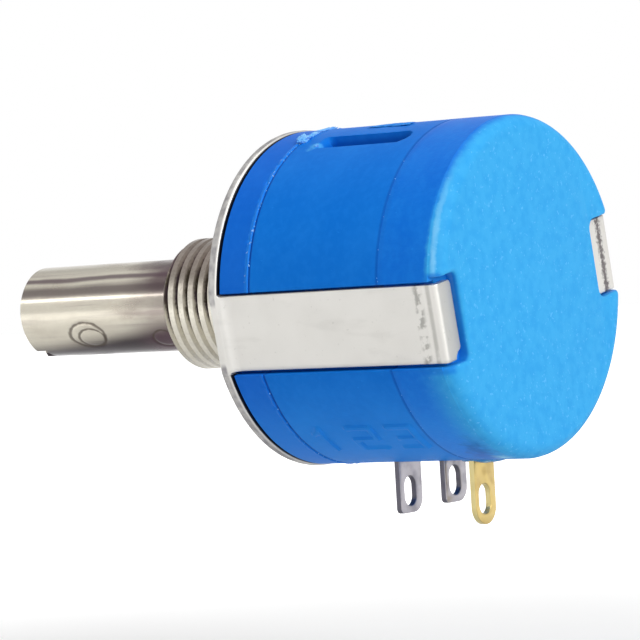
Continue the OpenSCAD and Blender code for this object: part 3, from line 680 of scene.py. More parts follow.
def cured_adhesive(name, colour):
    """A drop of epoxy adhesive, cured with a skin: glossy and cloudy, with pale patches."""
    drop = Finish(name, colour)
    drop.paint("#A9DCEC", drop.grain(0.7, 3.0, limits=(0.5, 0.75)), 0.8)
    return drop.done(drop.grain(0.4), 0.03, Roughness=0.25)


def plain_metal(name, colour, wear_and_painted_light, roughness, stretch=(1, 1, 1)):
    """Metal of the sealed inner pieces, with faint marks from the tool that made it."""
    metal = Finish(name, linear(colour))
    marks = metal.grain(0.25, 3.0, stretch)
    metal.paint(wear_and_painted_light, metal.node("ramp", marks, 0.4, 0.7))
    return metal.done(marks, 0.003, Metallic=1.0, Roughness=roughness)


def inner_plastic(name, colour, pale):
    """Moulded nylon of the sealed inner pieces: waxy, with faint flow marks."""
    nylon = Finish(name, linear(colour))
    nylon.paint(pale, nylon.grain(1.2, 3.0, (1, 0.4, 1), (0.35, 0.7)))
    return nylon.done(nylon.grain(0.2), 0.004, Roughness=0.45)


def winding(name, wire_pitch):
    """Fine resistance wire wound round its core, drawn as rings across the coil's own turns."""
    wire = Finish(name, "#5A4437")
    around = wire.node("ARCTAN2", wire.up, wire.x)
    coil_radius = 0.75 * HOUSING_HI.z
    wave = wire.node("SINE", wire.node("MULTIPLY", around, coil_radius * math.tau / wire_pitch))
    crests = wire.node("MULTIPLY_ADD", wave, 0.5, 0.5)
    wire.paint("#B79A82", crests)
    return wire.done(crests, 0.02, Metallic=1.0, Roughness=0.35)


# Geometry Nodes trees

# The ends of the thread's ridge are pressed to this share of their length, and this many
# millimetres inside the bushing's faces, so no two faces lie in one plane
PRESSED = 0.02


def new_tree(name, lengths, counts=()):
    """A Geometry Nodes tree that takes a geometry, lengths, counts and a finish by name. Gives the
    tree, a function that adds a node to it, and what it is given, in that order."""
    tree = bpy.data.node_groups.new(name, "GeometryNodeTree")
    kinds = {"Geometry": "Geometry", **dict.fromkeys(lengths, "Float"), **dict.fromkeys(counts, "Int"),
             "Finish": "Material"}
    for label, kind in kinds.items():
        socket = tree.interface.new_socket(label, in_out="INPUT", socket_type="NodeSocket" + kind)
        if kind == "Float":
            socket.subtype = "DISTANCE"
    tree.interface.new_socket("Geometry", in_out="OUTPUT", socket_type="NodeSocketGeometry")
    given = tree.nodes.new("NodeGroupInput").outputs
    return tree, partial(add_node, tree), [given[label] for label in kinds]


def finish_tree(tree, geometry, finish):
    """Ends a tree: its instances made real, and its finish set."""
    real = add_node(tree, "GeometryNodeRealizeInstances", geometry)
    done = add_node(tree, "GeometryNodeSetMaterial", real, Material=finish)
    tree.links.new(done, tree.nodes.new("NodeGroupOutput").inputs[0])
    return tree


def run_tree(thing, tree, values):
    """Runs a tree on an object with values for its named inputs, and keeps the plain mesh."""
    modifier = thing.modifiers.new(tree.name, "NODES")
    modifier.node_group = tree
    for item in tree.interface.items_tree:
        if item.in_out == "INPUT" and item.name in values:
            modifier[item.identifier] = values[item.name]
    mesh = plain_mesh(thing, mend=True)
    thing.modifiers.clear()
    thing.data = mesh


def thread_tree():
    """A thread's ridge wound round the bushing's core, and trimmed to its front face and chamfer."""
    tree, node, (bushing, core, crest, pitch, crest_width, length, chamfer, finish) = new_tree(
        "Bushing thread", ("Core Radius", "Crest Radius", "Pitch", "Crest Width", "Length", "Chamfer"))
    spiral = node("GeometryNodeCurveSpiral", 90, node("ADD", node("DIVIDE", length, pitch), 1.0),
                  core, core, node("ADD", length, pitch), True)
    upright = node("GeometryNodeSetCurveNormal", spiral, mode="Z_UP")
    tooth = node("GeometryNodeCurvePrimitiveQuadrilateral", mode="TRAPEZOID", Offset=0.0,
                 Height=node("MULTIPLY", node("SUBTRACT", crest, core), 2.0),
                 Bottom_Width=node("MULTIPLY", pitch, 1.86), Top_Width=crest_width)
    turned = node("GeometryNodeTransform", tooth, Rotation=Euler((0, 0, -math.pi / 2)))
    ridge = node("GeometryNodeCurveToMesh", upright, turned, Fill_Caps=True)
    lying = node("GeometryNodeTransform", ridge, Rotation=Euler((math.pi / 2, 0, 0)))
    x, along, z = node("axes", node("GeometryNodeInputPosition"), output=slice(3))
    radius = node("length", node("point", x, 0.0, z))
    from_front = node("ADD", along, length)
    limit = node("ADD", node("SUBTRACT", crest, chamfer), node("MAXIMUM", from_front, 0.0))
    shrink = node("DIVIDE", node("MINIMUM", radius, limit), radius)
    behind = node("MULTIPLY_ADD", along, PRESSED, PRESSED * MM)
    ahead = node("MULTIPLY_ADD", from_front, PRESSED, node("SUBTRACT", PRESSED * MM, length))
    pressed = node("MAXIMUM", node("MINIMUM", along, behind), ahead)
    trimmed = node("point", node("MULTIPLY", x, shrink), pressed, node("MULTIPLY", z, shrink))
    joined = node("GeometryNodeJoinGeometry",
                  node("GeometryNodeSetPosition", lying, Position=trimmed))
    tree.links.new(bushing, joined.node.inputs[0])
    return finish_tree(tree, joined, finish)


def flash_tree():
    """Flakes of flash, scattered along a parting line round the body and left out at the clips."""
    tree, node, given = new_tree(
        "Parting line flash", ("Radius", "Place", "Spread", "Smallest", "Largest", "Clip Half Width"),
        ("Count", "Seed"))
    radius, place, spread, smallest, largest, clip, count, seed, finish = given[1:]
    pick = partial(node, "FunctionNodeRandomValue")
    turn = pick(0.0, math.tau, Seed=seed)
    sideways = pick(node("MULTIPLY", spread, -1.0), spread, Seed=node("ADD", seed, 1))
    spot = node("point", node("MULTIPLY", node("COSINE", turn), radius), node("ADD", place, sideways),
                node("MULTIPLY", node("SINE", turn), radius))
    across = node("dot", node("GeometryNodeInputPosition"), clip_axes(0)[1])
    clear = node("FunctionNodeCompare", node("ABSOLUTE", across), clip, operation="GREATER_THAN")
    limits = [node("point", width, width, width) for width in (smallest, largest)]
    scale = pick(*limits, Seed=node("ADD", seed, 2), data_type="FLOAT_VECTOR")
    tilt = pick((0, 0, 0), (math.tau,) * 3, Seed=node("ADD", seed, 3), data_type="FLOAT_VECTOR")
    flakes = node("GeometryNodeInstanceOnPoints", node("GeometryNodePoints", count, spot), clear,
                  node("GeometryNodeMeshIcoSphere", 1.0, 2), Rotation=tilt, Scale=scale)
    return finish_tree(tree, flakes, finish)


# Shapes that several pieces share


def body_radius(place):
    """The drafted radius of the moulded body."""
    slope = (CAP_HI.z - COVER_HI.z) / (HOUSING_HI.y - COVER_LO.y)
    return COVER_HI.z + slope * (place - COVER_LO.y)


def crest_radius():
    """The thread's outer radius, which the panel mount of the record gives."""
    for mount in frame["record"]["mounts"]:
        if mount["name"] == "panel_bushing":
            return mount["dims"]["r_mm"] * MM
    raise RuntimeError("the record has no mount named panel_bushing")


def moulded_ring(radius, place, notches, edge, relief=None):
    """A section of the body: a circle with a notch for each clip, with (inner, low, high, corner)."""
    tilt = bpy.context.scene.pot_plate.clip_tilt
    arc_steps = 250
    points = []
    for side, (inner, low, high, corner) in enumerate(notches):
        out, across = clip_axes(side)

        def on_rim(width):
            return out * math.sqrt(radius ** 2 - width ** 2) + across * width + Vector((0, place, 0))

        for width, inward in ((low, 1), (high, -1)):
            lip = on_rim(width)
            foot = out * inner + across * width + Vector((0, place, 0))
            wall = bend(on_rim(width - inward * edge), lip, lip.lerp(foot, edge / (lip - foot).length))
            wall += bend(foot + out * corner, foot, foot + across * inward * corner)
            points += wall[::inward]
        start = -tilt - side * math.pi + math.asin((high + edge) / radius)
        end = -tilt - side * math.pi + math.pi + math.asin((notches[1 - side][1] - edge) / radius)
        for i in range(1, arc_steps):
            turn = start + (end - start) * i / arc_steps
            depth = relief(turn, place) if relief else 0
            points.append(at_turn(radius - depth, turn, place))
    return points


def moulded_wall(rows, notches, edge):
    """Sections of the body's outer wall, from rows of place, radius and relief."""
    return [moulded_ring(radius, place, notches, edge, relief) for place, radius, relief in rows]


def channel_notches():
    """The channels that both clips lie in."""
    plate, mould = bpy.context.scene.pot_plate, bpy.context.scene.pot_mouldings
    half = plate.clip_width / 2 + mould.channel_gap
    return [(mould.channel_floor, -half, half, 0.05 * MM)] * 2


def uneven(turn, place):
    """The slight unevenness of a moulded wall."""
    spot = Vector((math.cos(turn) * 3, place / (4 * MM), math.sin(turn) * 3))
    return noise.noise(spot) * 0.012 * MM


def ragged(turn, place):
    """The torn edge of the flash on the front cover, in steps of a few tenths of a millimetre."""
    spot = Vector((math.cos(turn), 0, math.sin(turn))) * 30
    return max(noise.noise(spot) + 0.5 * noise.noise(spot * 2.7), 0) * 0.09 * MM


# Operators


class POT_OT_shaft(bpy.types.Operator):
    """Turn the shaft, with its screwdriver slot, set screw prints, rotor seat and journal"""

    bl_idname = "pot.shaft"
    bl_label = "Shaft"

    def execute(self, context):
        sizes = context.scene.pot_shaft
        radius, front, rear = SHAFT_HI.x, SHAFT_LO.y, SHAFT_HI.y
        shoulder, soft, slack = front + sizes.chamfer, 0.02 * MM, 0.03 * MM
        relief = radius - sizes.relief_depth
        relief_front = BUSHING_LO.y - sizes.relief_width / 2
        relief_rear = BUSHING_LO.y + sizes.relief_width / 2
        rotor_lo, rotor_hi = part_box("rotor")
        ring_lo, ring_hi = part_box("retaining_ring")
        groove_front, groove_rear = ring_lo.y - slack, ring_hi.y + slack
        rear_chamfer = 0.15 * MM
        profile = [(radius - sizes.chamfer - 0.03 * MM, front), (radius - sizes.chamfer, front),
                   (radius - soft, shoulder - soft), (radius, shoulder)]
        profile += [(radius, place)
                    for place in stations(shoulder + 0.1 * MM, relief_front - soft, 0.1 * MM)]
        profile += [(relief, relief_front), (relief, relief_rear), (radius, relief_rear + soft),
                    (radius, groove_front), (RING_GROOVE, groove_front), (RING_GROOVE, groove_rear),
                    (radius, groove_rear), (radius, rotor_lo.y), (ROTOR_SEAT, rotor_lo.y),
                    (ROTOR_SEAT, rotor_hi.y), (JOURNAL, rotor_hi.y), (JOURNAL, rear - rear_chamfer),
                    (JOURNAL - rear_chamfer, rear)]
        shaft = new_object("turned_shaft", loft([self.section(sizes, *row) for row in profile]))
        combine(shaft, self.slot_cutter(sizes), "DIFFERENCE")
        steel = turned_shaft("Turned steel", context.scene.pot_colours.shaft)
        dress(shaft, "spindle", "shaft_steel", steel, "shaft")
        return {"FINISHED"}

    def section(self, sizes, radius, place):
        """A section of the shaft, sunk where a set screw pressed and flat where the rotor sits."""
        ring = circle(radius, place, 240)
        for point in ring:
            scale = 1 - self.print_depth(sizes, math.atan2(point.z, point.x), place) / radius
            point.x, point.z = point.x * scale, point.z * scale
            if radius == ROTOR_SEAT:
                point.z = min(point.z, SEAT_FLAT)
        return ring

    def print_depth(self, sizes, turn, place):
        """How deep the set screws' prints are at a point of the shaft."""
        deepest = 0
        for centre, print_turn, half_length, half_width in SCREW_PRINTS:
            along = (place / MM - centre) / half_length
            across = (turn - math.radians(print_turn)) * SHAFT_HI.x / (half_width * MM)
            off = abs(math.hypot(along, across) - PRINT_RING) * half_width * MM
            deepest = max(deepest, sizes.print_depth * ease(1 - off / sizes.print_groove))
        return deepest

    def slot_cutter(self, sizes):
        """The block that cuts the screwdriver slot."""
        block = (4 * SHAFT_HI.x, 2 * sizes.slot_depth, sizes.slot_width)
        shape = bmesh.new()
        bmesh.ops.create_cube(shape, size=1)
        bmesh.ops.scale(shape, verts=shape.verts, vec=block)
        bmesh.ops.translate(shape, verts=shape.verts, vec=(0, SHAFT_LO.y, 0))
        bmesh.ops.rotate(shape, verts=shape.verts, matrix=Matrix.Rotation(sizes.slot_angle, 3, "Y"))
        return new_object("slot_cutter", closed_up(shape))


class POT_OT_bushing(bpy.types.Operator):
    """Turn the bushing and wind its thread's ridge"""

    bl_idname = "pot.bushing"
    bl_label = "Bushing"

    def execute(self, context):
        sizes, colours = context.scene.pot_bushing, context.scene.pot_colours
        crest, soft = crest_radius(), sizes.edge
        core, bore = crest - sizes.depth, SHAFT_HI.x + 0.04 * MM
        neck, flange = crest + 0.2 * MM, BUSHING_HI.x
        front, flange_front, rear = BUSHING_LO.y, COVER_LO.y, BUSHING_HI.y
        profile = [(bore, front + soft), (bore + soft, front), (core - 2 * soft, front),
                   (core, front + 2 * soft), (core, 0), (neck - soft, 0), (neck, soft),
                   (neck, flange_front), (flange - soft, flange_front), (flange, flange_front + soft),
                   (flange, rear - soft), (flange - soft, rear), (bore, rear)]
        rings = [circle(radius, place, 120) for radius, place in profile]
        bushing = new_object("threaded_bushing", loft(rings, hollow=True))
        brass = turned_bushing("Plated brass, turned", colours.turned, colours.valley, core)
        run_tree(bushing, thread_tree(), {
            "Core Radius": core, "Crest Radius": crest, "Pitch": sizes.pitch,
            "Crest Width": sizes.crest, "Length": -front, "Chamfer": sizes.chamfer, "Finish": brass})
        dress(bushing, "stator", "plated_bushing", brass, "bushing")
        return {"FINISHED"}


class POT_OT_plate(bpy.types.Operator):
    """Fold the mounting plate and its two clips out of one sheet"""

    bl_idname = "pot.plate"
    bl_label = "Mounting plate and clips"

    def execute(self, context):
        sizes = context.scene.pot_plate
        flat, thickness, clearance = sizes.clip_out + sizes.root, COVER_LO.y, 0.23 * MM
        border = []
        for i in range(360):
            turn = math.tau * i / 360
            reach = min(PLATE_HI.z, flat / max(abs(math.cos(turn + sizes.clip_tilt)), 0.01))
            border.append(at_turn(reach, turn, 0))
        hole = circle(crest_radius() + clearance, 0, 120)
        plate = flat_piece("mounting_plate", [border, hole], 0, thickness, sizes.edge)
        for side in (0, 1):
            clip = new_object("clip", loft(self.clip_sections(sizes, flat, thickness, side)))
            combine(plate, clip, "UNION")
        finish = plated_sheet("Nickel plated sheet", context.scene.pot_colours.plating, PLATE_HI.y,
                              body_radius(thickness), thickness)
        dress(plate, "stator", "plated_sheet", finish, "front_plate", sharp=40)
        return {"FINISHED"}

    def clip_sections(self, sizes, flat, thickness, side):
        """Sections of a clip, from one of its sides to the other, with a corner left out of its lip."""
        out, across = clip_axes(side)
        half, edge = sizes.clip_width / 2, 0.05 * MM
        lip = sizes.clip_out - (sizes.far_lip if side else sizes.lip)
        deep = (0.1 if side else 1.0) * MM
        cut, notch = lip + 0.62 * deep, sizes.corner - half
        # Each section: its place across the clip, where its lip ends, and how far it is drawn in
        widths = [(-half, cut + edge, edge), (-half + 0.4 * edge, cut, 0.3 * edge),
                  (-half + edge, cut, 0), (-half + 0.5 * sizes.corner, cut - 0.1 * deep, 0),
                  (notch - 0.1 * MM, lip + 0.34 * deep, 0), (notch, lip + 0.1 * deep, 0),
                  (notch + 0.15 * MM, lip, 0), (0, lip, 0), (half - 0.3 * MM, lip, 0),
                  (half - 0.1 * MM, lip + 0.08 * MM, 0), (half - edge, lip + 0.14 * MM, 0),
                  (half - 0.4 * edge, lip + 0.18 * MM, 0.3 * edge), (half, lip + 0.25 * MM, edge)]
        flare_reach = 0.2 * MM
        sections = []
        for width, end, inset in widths:
            ring = []
            for point in self.clip_profile(sizes, flat, thickness, end, inset):
                gap = 1 - min(max((point.y - thickness) / flare_reach, 0), 1)
                flare = flare_reach * (1 - math.sqrt(1 - gap ** 2))
                ring.append(out * point.x + across * width * (1 + flare / half)
                            + Vector((0, point.y, 0)))
            sections.append(ring)
        return sections

    def clip_profile(self, sizes, flat, thickness, lip_end, inset):
        """A clip seen from its side: root, arm, the print of the folding tool, fold and lip."""
        tight = 0.05 * MM
        outside, inside = sizes.clip_out - inset, sizes.clip_out - sizes.clip_thickness + inset
        root, hidden, front = flat - 0.01 * MM - inset, inside - 0.3 * MM, 0.25 * MM
        rear, lip_front = PLATE_HI.y - inset, PLATE_HI.y - sizes.clip_thickness + inset
        mark, dent = PLATE_HI.y - 0.95 * MM, outside - 0.03 * MM
        corners = [((hidden, front), 0), ((root, front), 0), ((root, thickness), 0.3 * MM),
                   ((outside, thickness + sizes.root), 0.35 * MM), ((outside, mark - 0.12 * MM), tight),
                   ((dent, mark), tight), ((dent, mark + 0.1 * MM), tight),
                   ((outside, mark + 0.25 * MM), tight), ((outside, rear), sizes.fold),
                   ((lip_end, rear), tight), ((lip_end, lip_front), tight),
                   ((inside, lip_front), tight), ((inside, thickness + 0.1 * MM), 0),
                   ((inside, thickness - 0.1 * MM), 0), ((hidden, thickness - 0.2 * MM), 0)]
        return rounded_outline(corners, 6)


class POT_OT_mouldings(bpy.types.Operator):
    """Mould the front cover, the housing and the rear cap"""

    bl_idname = "pot.mouldings"
    bl_label = "Cover, housing and rear cap"

    def execute(self, context):
        sizes, colours = context.scene.pot_mouldings, context.scene.pot_colours
        # The spot at the recess' front that gets a painted highlight
        recess_highlight_place = HOUSING_LO.y + 1.55 * MM
        recess_highlight = (at_turn(body_radius(recess_highlight_place), math.radians(62.5), recess_highlight_place), 0.75, 0.8)
        cover_finish = side_plastic("Moulded polyester, front cover", colours.cover, "#1A74DC",
                                    HOUSING_LO.y)
        housing_finish = side_plastic("Moulded polyester, housing", colours.housing, "#1C84E4",
                                      seam_shades=((HOUSING_LO.y, 0.85), (HOUSING_HI.y, 0.5)), highlight_spots=(recess_highlight,))
        cap_finish = cap_plastic("Moulded polyester, rear cap", colours.cap, "#1C88E6",
                                 colours.lit_end_face, CAP_HI.y)
        for name, mesh, slot, finish, node in (
                ("moulded_cover", self.cover(sizes), "cover_plastic", cover_finish, "front_cover"),
                ("moulded_housing", self.housing(sizes), "housing_plastic", housing_finish, "housing"),
                ("moulded_cap", self.cap(context, sizes), "cap_plastic", cap_finish, "rear_cap")):
            dress(new_object(name, mesh), "stator", slot, finish, node)
        return {"FINISHED"}

    def cover(self, sizes):
        """The front cover: a ring with a web against the plate and a tongue in the housing."""
        front, seam = COVER_LO.y, HOUSING_LO.y
        edge, gap, web = sizes.edge, sizes.cover_gap, BUSHING_HI.x + 0.03 * MM
        rows = [(front + share * gap, body_radius(front) - inset * MM, None)
                for share, inset in ((0, 0.5), (0.75, 0.45), (0.85, 0.08), (1, 0))]
        rows += [(place, body_radius(place), uneven)
                 for place in stations(front + 1.5 * gap, seam - 0.3 * MM, 0.3 * MM)]
        # The flash: how far before the seam, and its share of the full height
        for before, rise in ((0.2, 0.1), (0.14, 0.6), (0.08, 1), (0.04, 0.8)):
            place = seam - before * MM
            rows.append((place, body_radius(place) + rise * sizes.flash_lip, ragged))
        rows.append((seam, body_radius(seam) - edge / 2, None))
        inner = [(TONGUE_OUT, seam), (TONGUE_OUT, COVER_HI.y), (TONGUE_IN, COVER_HI.y),
                 (TONGUE_IN, BUSHING_HI.y), (web, BUSHING_HI.y), (web, front)]
        return loft(moulded_wall(rows, channel_notches(), edge),
                    [circle(radius, place, 180) for radius, place in inner], hollow=True)

    def housing(self, sizes):
        """The housing: a thick ring with the long recess in its top and the numbers underneath."""
        front, rear, edge = HOUSING_LO.y, HOUSING_HI.y, sizes.edge
        bore = TONGUE_OUT + 0.03 * MM

        def relief(turn, place):
            return uneven(turn, place) + self.recess(sizes, turn, place) - self.number(sizes, turn, place)

        rows = [(front, body_radius(front) - sizes.seam_groove, None),
                (front + edge, body_radius(front) - sizes.seam_groove / 2, None)]
        rows += [(place, body_radius(place), relief)
                 for place in stations(front + 2 * edge, rear - edge, 0.12 * MM)]
        rows.append((rear, body_radius(rear) - edge / 3, None))
        return loft(moulded_wall(rows, channel_notches(), edge),
                    [circle(bore, rear, 180), circle(bore, front, 180)], hollow=True)

    def number(self, sizes, turn, place):
        """How high the terminals' moulded numbers 1, 2 and 3 stand at a point of the housing."""
        width, height, stroke = sizes.number_width, sizes.number_height, 0.26 * MM
        round_body = math.remainder(turn - sizes.number_angle, math.tau) * body_radius(place)
        if not -0.3 < round_body / height < 1.3:
            return 0
        nearest = MM
        for i, lines in enumerate(NUMBERS):
            along = place - HOUSING_LO.y - sizes.number_first - i * sizes.number_pitch
            point = Vector((along, round_body))
            for start, end in lines if -0.4 < along / width < 1.4 else ():
                start, end = (Vector((x * width, y * height)) for x, y in (start, end))
                share = min(max((point - start).dot(end - start) / (end - start).length_squared, 0), 1)
                nearest = min(nearest, (point - start.lerp(end, share)).length)
        return sizes.number_relief * ease((stroke - nearest) / (stroke / 2))

    def recess(self, sizes, turn, place):
        """How deep the long recess is at a point of the housing's surface."""
        half = sizes.recess_width / 2
        rear = HOUSING_HI.y - sizes.recess_from_rear - half
        front = rear + half - sizes.recess_length
        across = math.remainder(turn - sizes.recess_angle, math.tau) * body_radius(place)
        off = math.hypot(across, max(place - rear, 0)) - half
        ramp = ease((place - front) / sizes.recess_ramp)
        return sizes.recess_depth * ramp * ease(0.5 - off / (0.26 * MM))

    def cap(self, context, sizes):
        """The rear cap: a cup with the shaft's bearing inside and a pocket for each clip's lip."""
        plate, edge, soft = context.scene.pot_plate, sizes.edge, sizes.pocket_round
        seam, rear, floor = HOUSING_HI.y, CAP_HI.y, CAP_HI.y - 1.7 * MM
        bearing, boss = 2.04 * MM, 3.19 * MM
        boss_front, hole_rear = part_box("slip_ring")[1].y + 0.3 * MM, SHAFT_HI.y + 0.2 * MM
        inner = [(bearing, hole_rear), (bearing, boss_front), (boss, boss_front), (boss, floor),
                 (TONGUE_IN, floor), (TONGUE_IN, CAP_LO.y), (TONGUE_OUT, CAP_LO.y), (TONGUE_OUT, seam)]
        ledge = PLATE_HI.y - plate.clip_thickness
        rows = [(seam, body_radius(seam) - edge / 3, None)]
        rows += [(place, body_radius(place), uneven) for place in stations(seam + edge, ledge, 0.4 * MM)]
        rings = moulded_wall(rows, channel_notches(), edge)
        for place, radius in self.rim(sizes, ledge, rear):
            lift = min(max(place - (rear - soft), 0), soft)
            grow = soft - math.sqrt(soft ** 2 - lift ** 2)
            rings.append(moulded_ring(radius, place, self.pockets(plate, sizes, grow), soft))
        return loft([circle(radius, place, 120) for radius, place in inner], rings)

    def rim(self, sizes, ledge, rear):
        """Places and radii from the pockets' floor over the rounded rim to the end face."""
        outer, steps = body_radius(rear), 14
        path = [(ledge, body_radius(ledge))]
        for i in range(steps + 1):
            turn = math.pi / 2 * i / steps
            place = rear - sizes.cap_round * (1 - math.sin(turn))
            if place > ledge + 0.01 * MM:
                path.append((place, outer - sizes.cap_round * (1 - math.cos(turn))))
        path.append((rear - 0.003 * MM, path[-1][1] - 0.03 * MM))
        return sorted(path)

    def pockets(self, plate, sizes, grow):
        """The pockets that the clips' folded ends lie in, wider by grow at the end face."""
        half = plate.clip_width / 2
        side, snug = half + sizes.channel_gap + grow, half + 0.12 * MM + 0.3 * grow
        corner = sizes.pocket_corner + grow
        return [(sizes.near_pocket - grow, -side, side + 0.2 * MM, corner),
                (sizes.far_pocket - 0.3 * grow, -snug, snug, corner)]


class POT_OT_flash(bpy.types.Operator):
    """Scatter flakes of flash along the body's two parting lines, and add the burrs"""

    bl_idname = "pot.flash"
    bl_label = "Flash on the parting lines"

    def execute(self, context):
        plate, mould = context.scene.pot_plate, context.scene.pot_mouldings
        thin = side_plastic("Moulded polyester, flash", linear("#55AAF2"), "#C6E6FC")
        thick = side_plastic("Moulded polyester, burr", linear("#1A80E0"), "#58B0F4")
        clear = plate.clip_width / 2 + mould.channel_gap + 0.2 * MM
        tree = flash_tree()
        for name, place, count, seed, largest in (("front_seam_flash", HOUSING_LO.y, 130, 4, 0.07),
                                                  ("rear_seam_flash", HOUSING_HI.y, 40, 9, 0.04)):
            flash = new_object(name, bpy.data.meshes.new(name))
            run_tree(flash, tree, {
                "Radius": body_radius(place) - 0.02 * MM, "Place": place, "Spread": 0.05 * MM,
                "Smallest": 0.02 * MM, "Largest": largest * MM, "Clip Half Width": clear,
                "Count": count, "Seed": seed, "Finish": thin})
            dress(flash, "stator", "housing_plastic", thin)
        # Each burr: its turn in degrees, its distance from the front seam, half its size round the
        # body, along it and outwards in millimetres, the seed of its lumps, and its finish
        for name, turn, place, half_size, seed, finish in (
                ("seam_burr", 68, 0.0, (0.6, 0.4, 0.34), 1, thin),
                ("seam_burr_tail", 73, 0.12, (0.45, 0.2, 0.18), 5, thin),
                ("top_flash", 81, 0.02, (1.2, 0.14, 0.14), 2, thin),
                ("recess_burr", 79, 5.6, (0.5, 1.7, 0.1), 3, thick),
                ("recess_front_burr", 62.5, 1.7, (0.14, 0.16, 0.1), 7, thin)):
            burr = self.burr(math.radians(turn), HOUSING_LO.y + place * MM, half_size, seed)
            dress(new_object(name, burr), "stator", "housing_plastic", finish, sharp=60)
        return {"FINISHED"}

    def burr(self, turn, place, half_size, seed):
        """A lump of torn flash: an uneven blob, whose half sizes go round, along and out."""
        shape = bmesh.new()
        bmesh.ops.create_icosphere(shape, subdivisions=4, radius=1)
        out, across = at_turn(1, turn, 0), at_turn(1, turn + math.pi / 2, 0)
        for vertex in shape.verts:
            way = vertex.co.normalized()
            lump = 1 + 0.5 * noise.noise(way * 1.7 + Vector((seed, 0, 0)))
            lump += 0.35 * noise.noise(way * 4.5 + Vector((0, seed, 0)))
            spread = way * Vector(half_size) * lump * MM
            vertex.co = (out * (body_radius(place) + spread.z) + across * spread.x
                         + Vector((0, place + spread.y, 0)))
        return closed_up(shape)


class POT_OT_terminals(bpy.types.Operator):
    """Blank the three solder terminals out of strip"""

    bl_idname = "pot.terminals"
    bl_label = "Solder terminals"

    def execute(self, context):
        sizes, colours = context.scene.pot_terminals, context.scene.pot_colours
        neck, shoulder, eye_half = sizes.neck / 2, -sizes.shoulder, sizes.eye_width / 2
        for node in ("terminal_1", "terminal_2", "wiper_terminal"):
            low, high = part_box(node)
            half, left, right, margin = high.x, sizes.large_corner, sizes.small_corner, sizes.margin
            name, slot, tone, wear_and_painted_light, edge_tone, roughness = (
                "Tin plated brass, " + node, "tinned_terminal", colours.tinned, "#77747E", "#45424F", 0.3)
            if node == "wiper_terminal":
                left, right, margin = half, half, sizes.wiper_margin
                name, slot, tone, wear_and_painted_light, edge_tone, roughness = (
                    "Gold plated brass", "gold_plated_terminal", colours.gold, "#B39458", "#E6D594", 0.28)
            border = [((-half, shoulder), 0), ((-half, low.z), left), ((half, low.z), right),
                      ((half, shoulder), 0), ((neck, shoulder), 0), ((neck, high.z), 0),
                      ((-neck, high.z), 0), ((-neck, shoulder), 0)]
            eye_low, eye_high = low.z + margin, low.z + margin + sizes.eye_length
            eye = [((sizes.eye_offset + way * eye_half, height), eye_half)
                   for way, height in ((-1, eye_low), (1, eye_low), (1, eye_high), (-1, eye_high))]
            lug = flat_piece(node + "_lug", [rounded_outline(border, 10), rounded_outline(eye, 10)],
                             low.y, high.y, sizes.edge)
            finish = plated_terminal(name, tone, wear_and_painted_light, roughness, low.y, high.y, edge_tone)
            dress(lug, "stator", slot, finish, node)
        return {"FINISHED"}


class POT_OT_sealant(bpy.types.Operator):
    """Lay the drop of adhesive round the wiper terminal"""

    bl_idname = "pot.sealant"
    bl_label = "Drop of adhesive"

    def execute(self, context):
        centre = HOUSING_HI.y - 0.1 * MM
        surface = body_radius(centre)
        # The drop spreads wider than the CAD's, and lies flatter
        reach, height = 1.25 * SEALANT_HI.x, 0.4 * (-SEALANT_LO.z - surface)
        rings = []
        for share in (1.0, 0.97, 0.9, 0.8, 0.68, 0.54, 0.4, 0.26, 0.12, 0.02):
            ring = []
            for round_drop in circle(1, 0, 48):
                lobe = 1 + 0.22 * noise.noise(Vector((round_drop.x, round_drop.z, 0.3)) * 1.4)
                x = reach * share * lobe * round_drop.x
                y = centre + reach * 0.85 * share * lobe * round_drop.z
                lump = 0.75 + 0.5 * noise.noise(Vector((x, y, 0)) / (0.7 * MM))
                rise = height * lump * math.sqrt(max(1 - share ** 2, 0)) - 0.05 * MM * (share == 1.0)
                ring.append(Vector((x, y, -math.sqrt(surface ** 2 - x ** 2) - rise)))
            rings.append(ring)
        drop = new_object("adhesive_drop", loft(rings))
        finish = cured_adhesive("Cured epoxy adhesive", context.scene.pot_colours.adhesive)
        dress(drop, "stator", "adhesive", finish, "terminal_sealant", sharp=80)
        return {"FINISHED"}


class POT_OT_inner_parts(bpy.types.Operator):
    """Give the sealed inner parts their finishes"""

    bl_idname = "pot.inner_parts"
    bl_label = "Inner parts"

    def execute(self, context):
        finishes = (
            (plain_metal("Spring steel", "#8A8C90", "#63656A", 0.35), "thrust_washer", "retaining_ring"),
            (plain_metal("Rolled contact alloy", "#D3B878", "#A98A4C", 0.28, (1, 0.2, 1)),
             "collector_brush", "collector_rod", "wiper_spring", "wiper_contact"),
            (plain_metal("Turned brass, slip ring", "#D8B765", "#B08E44", 0.25, (0.2, 1, 0.2)),
             "slip_ring"),
            (plain_metal("Brass strip", "#CDAF62", "#97783A", 0.32), "element_start_lead",
             "element_end_lead"),
            (inner_plastic("Moulded nylon, rotor", "#E2DCC8", "#F1EDDF"), "rotor"),
            (inner_plastic("Moulded nylon, slider", "#B23A2A", "#C85A45"), "slider_carriage"),
            (winding("Resistance wire on its core", 0.25 * MM), "resistance_element"))
        for finish, *nodes in finishes:
            for node in nodes:
                for slot in frame["nodes"][node].material_slots:
                    slot.material = finish
        return {"FINISHED"}


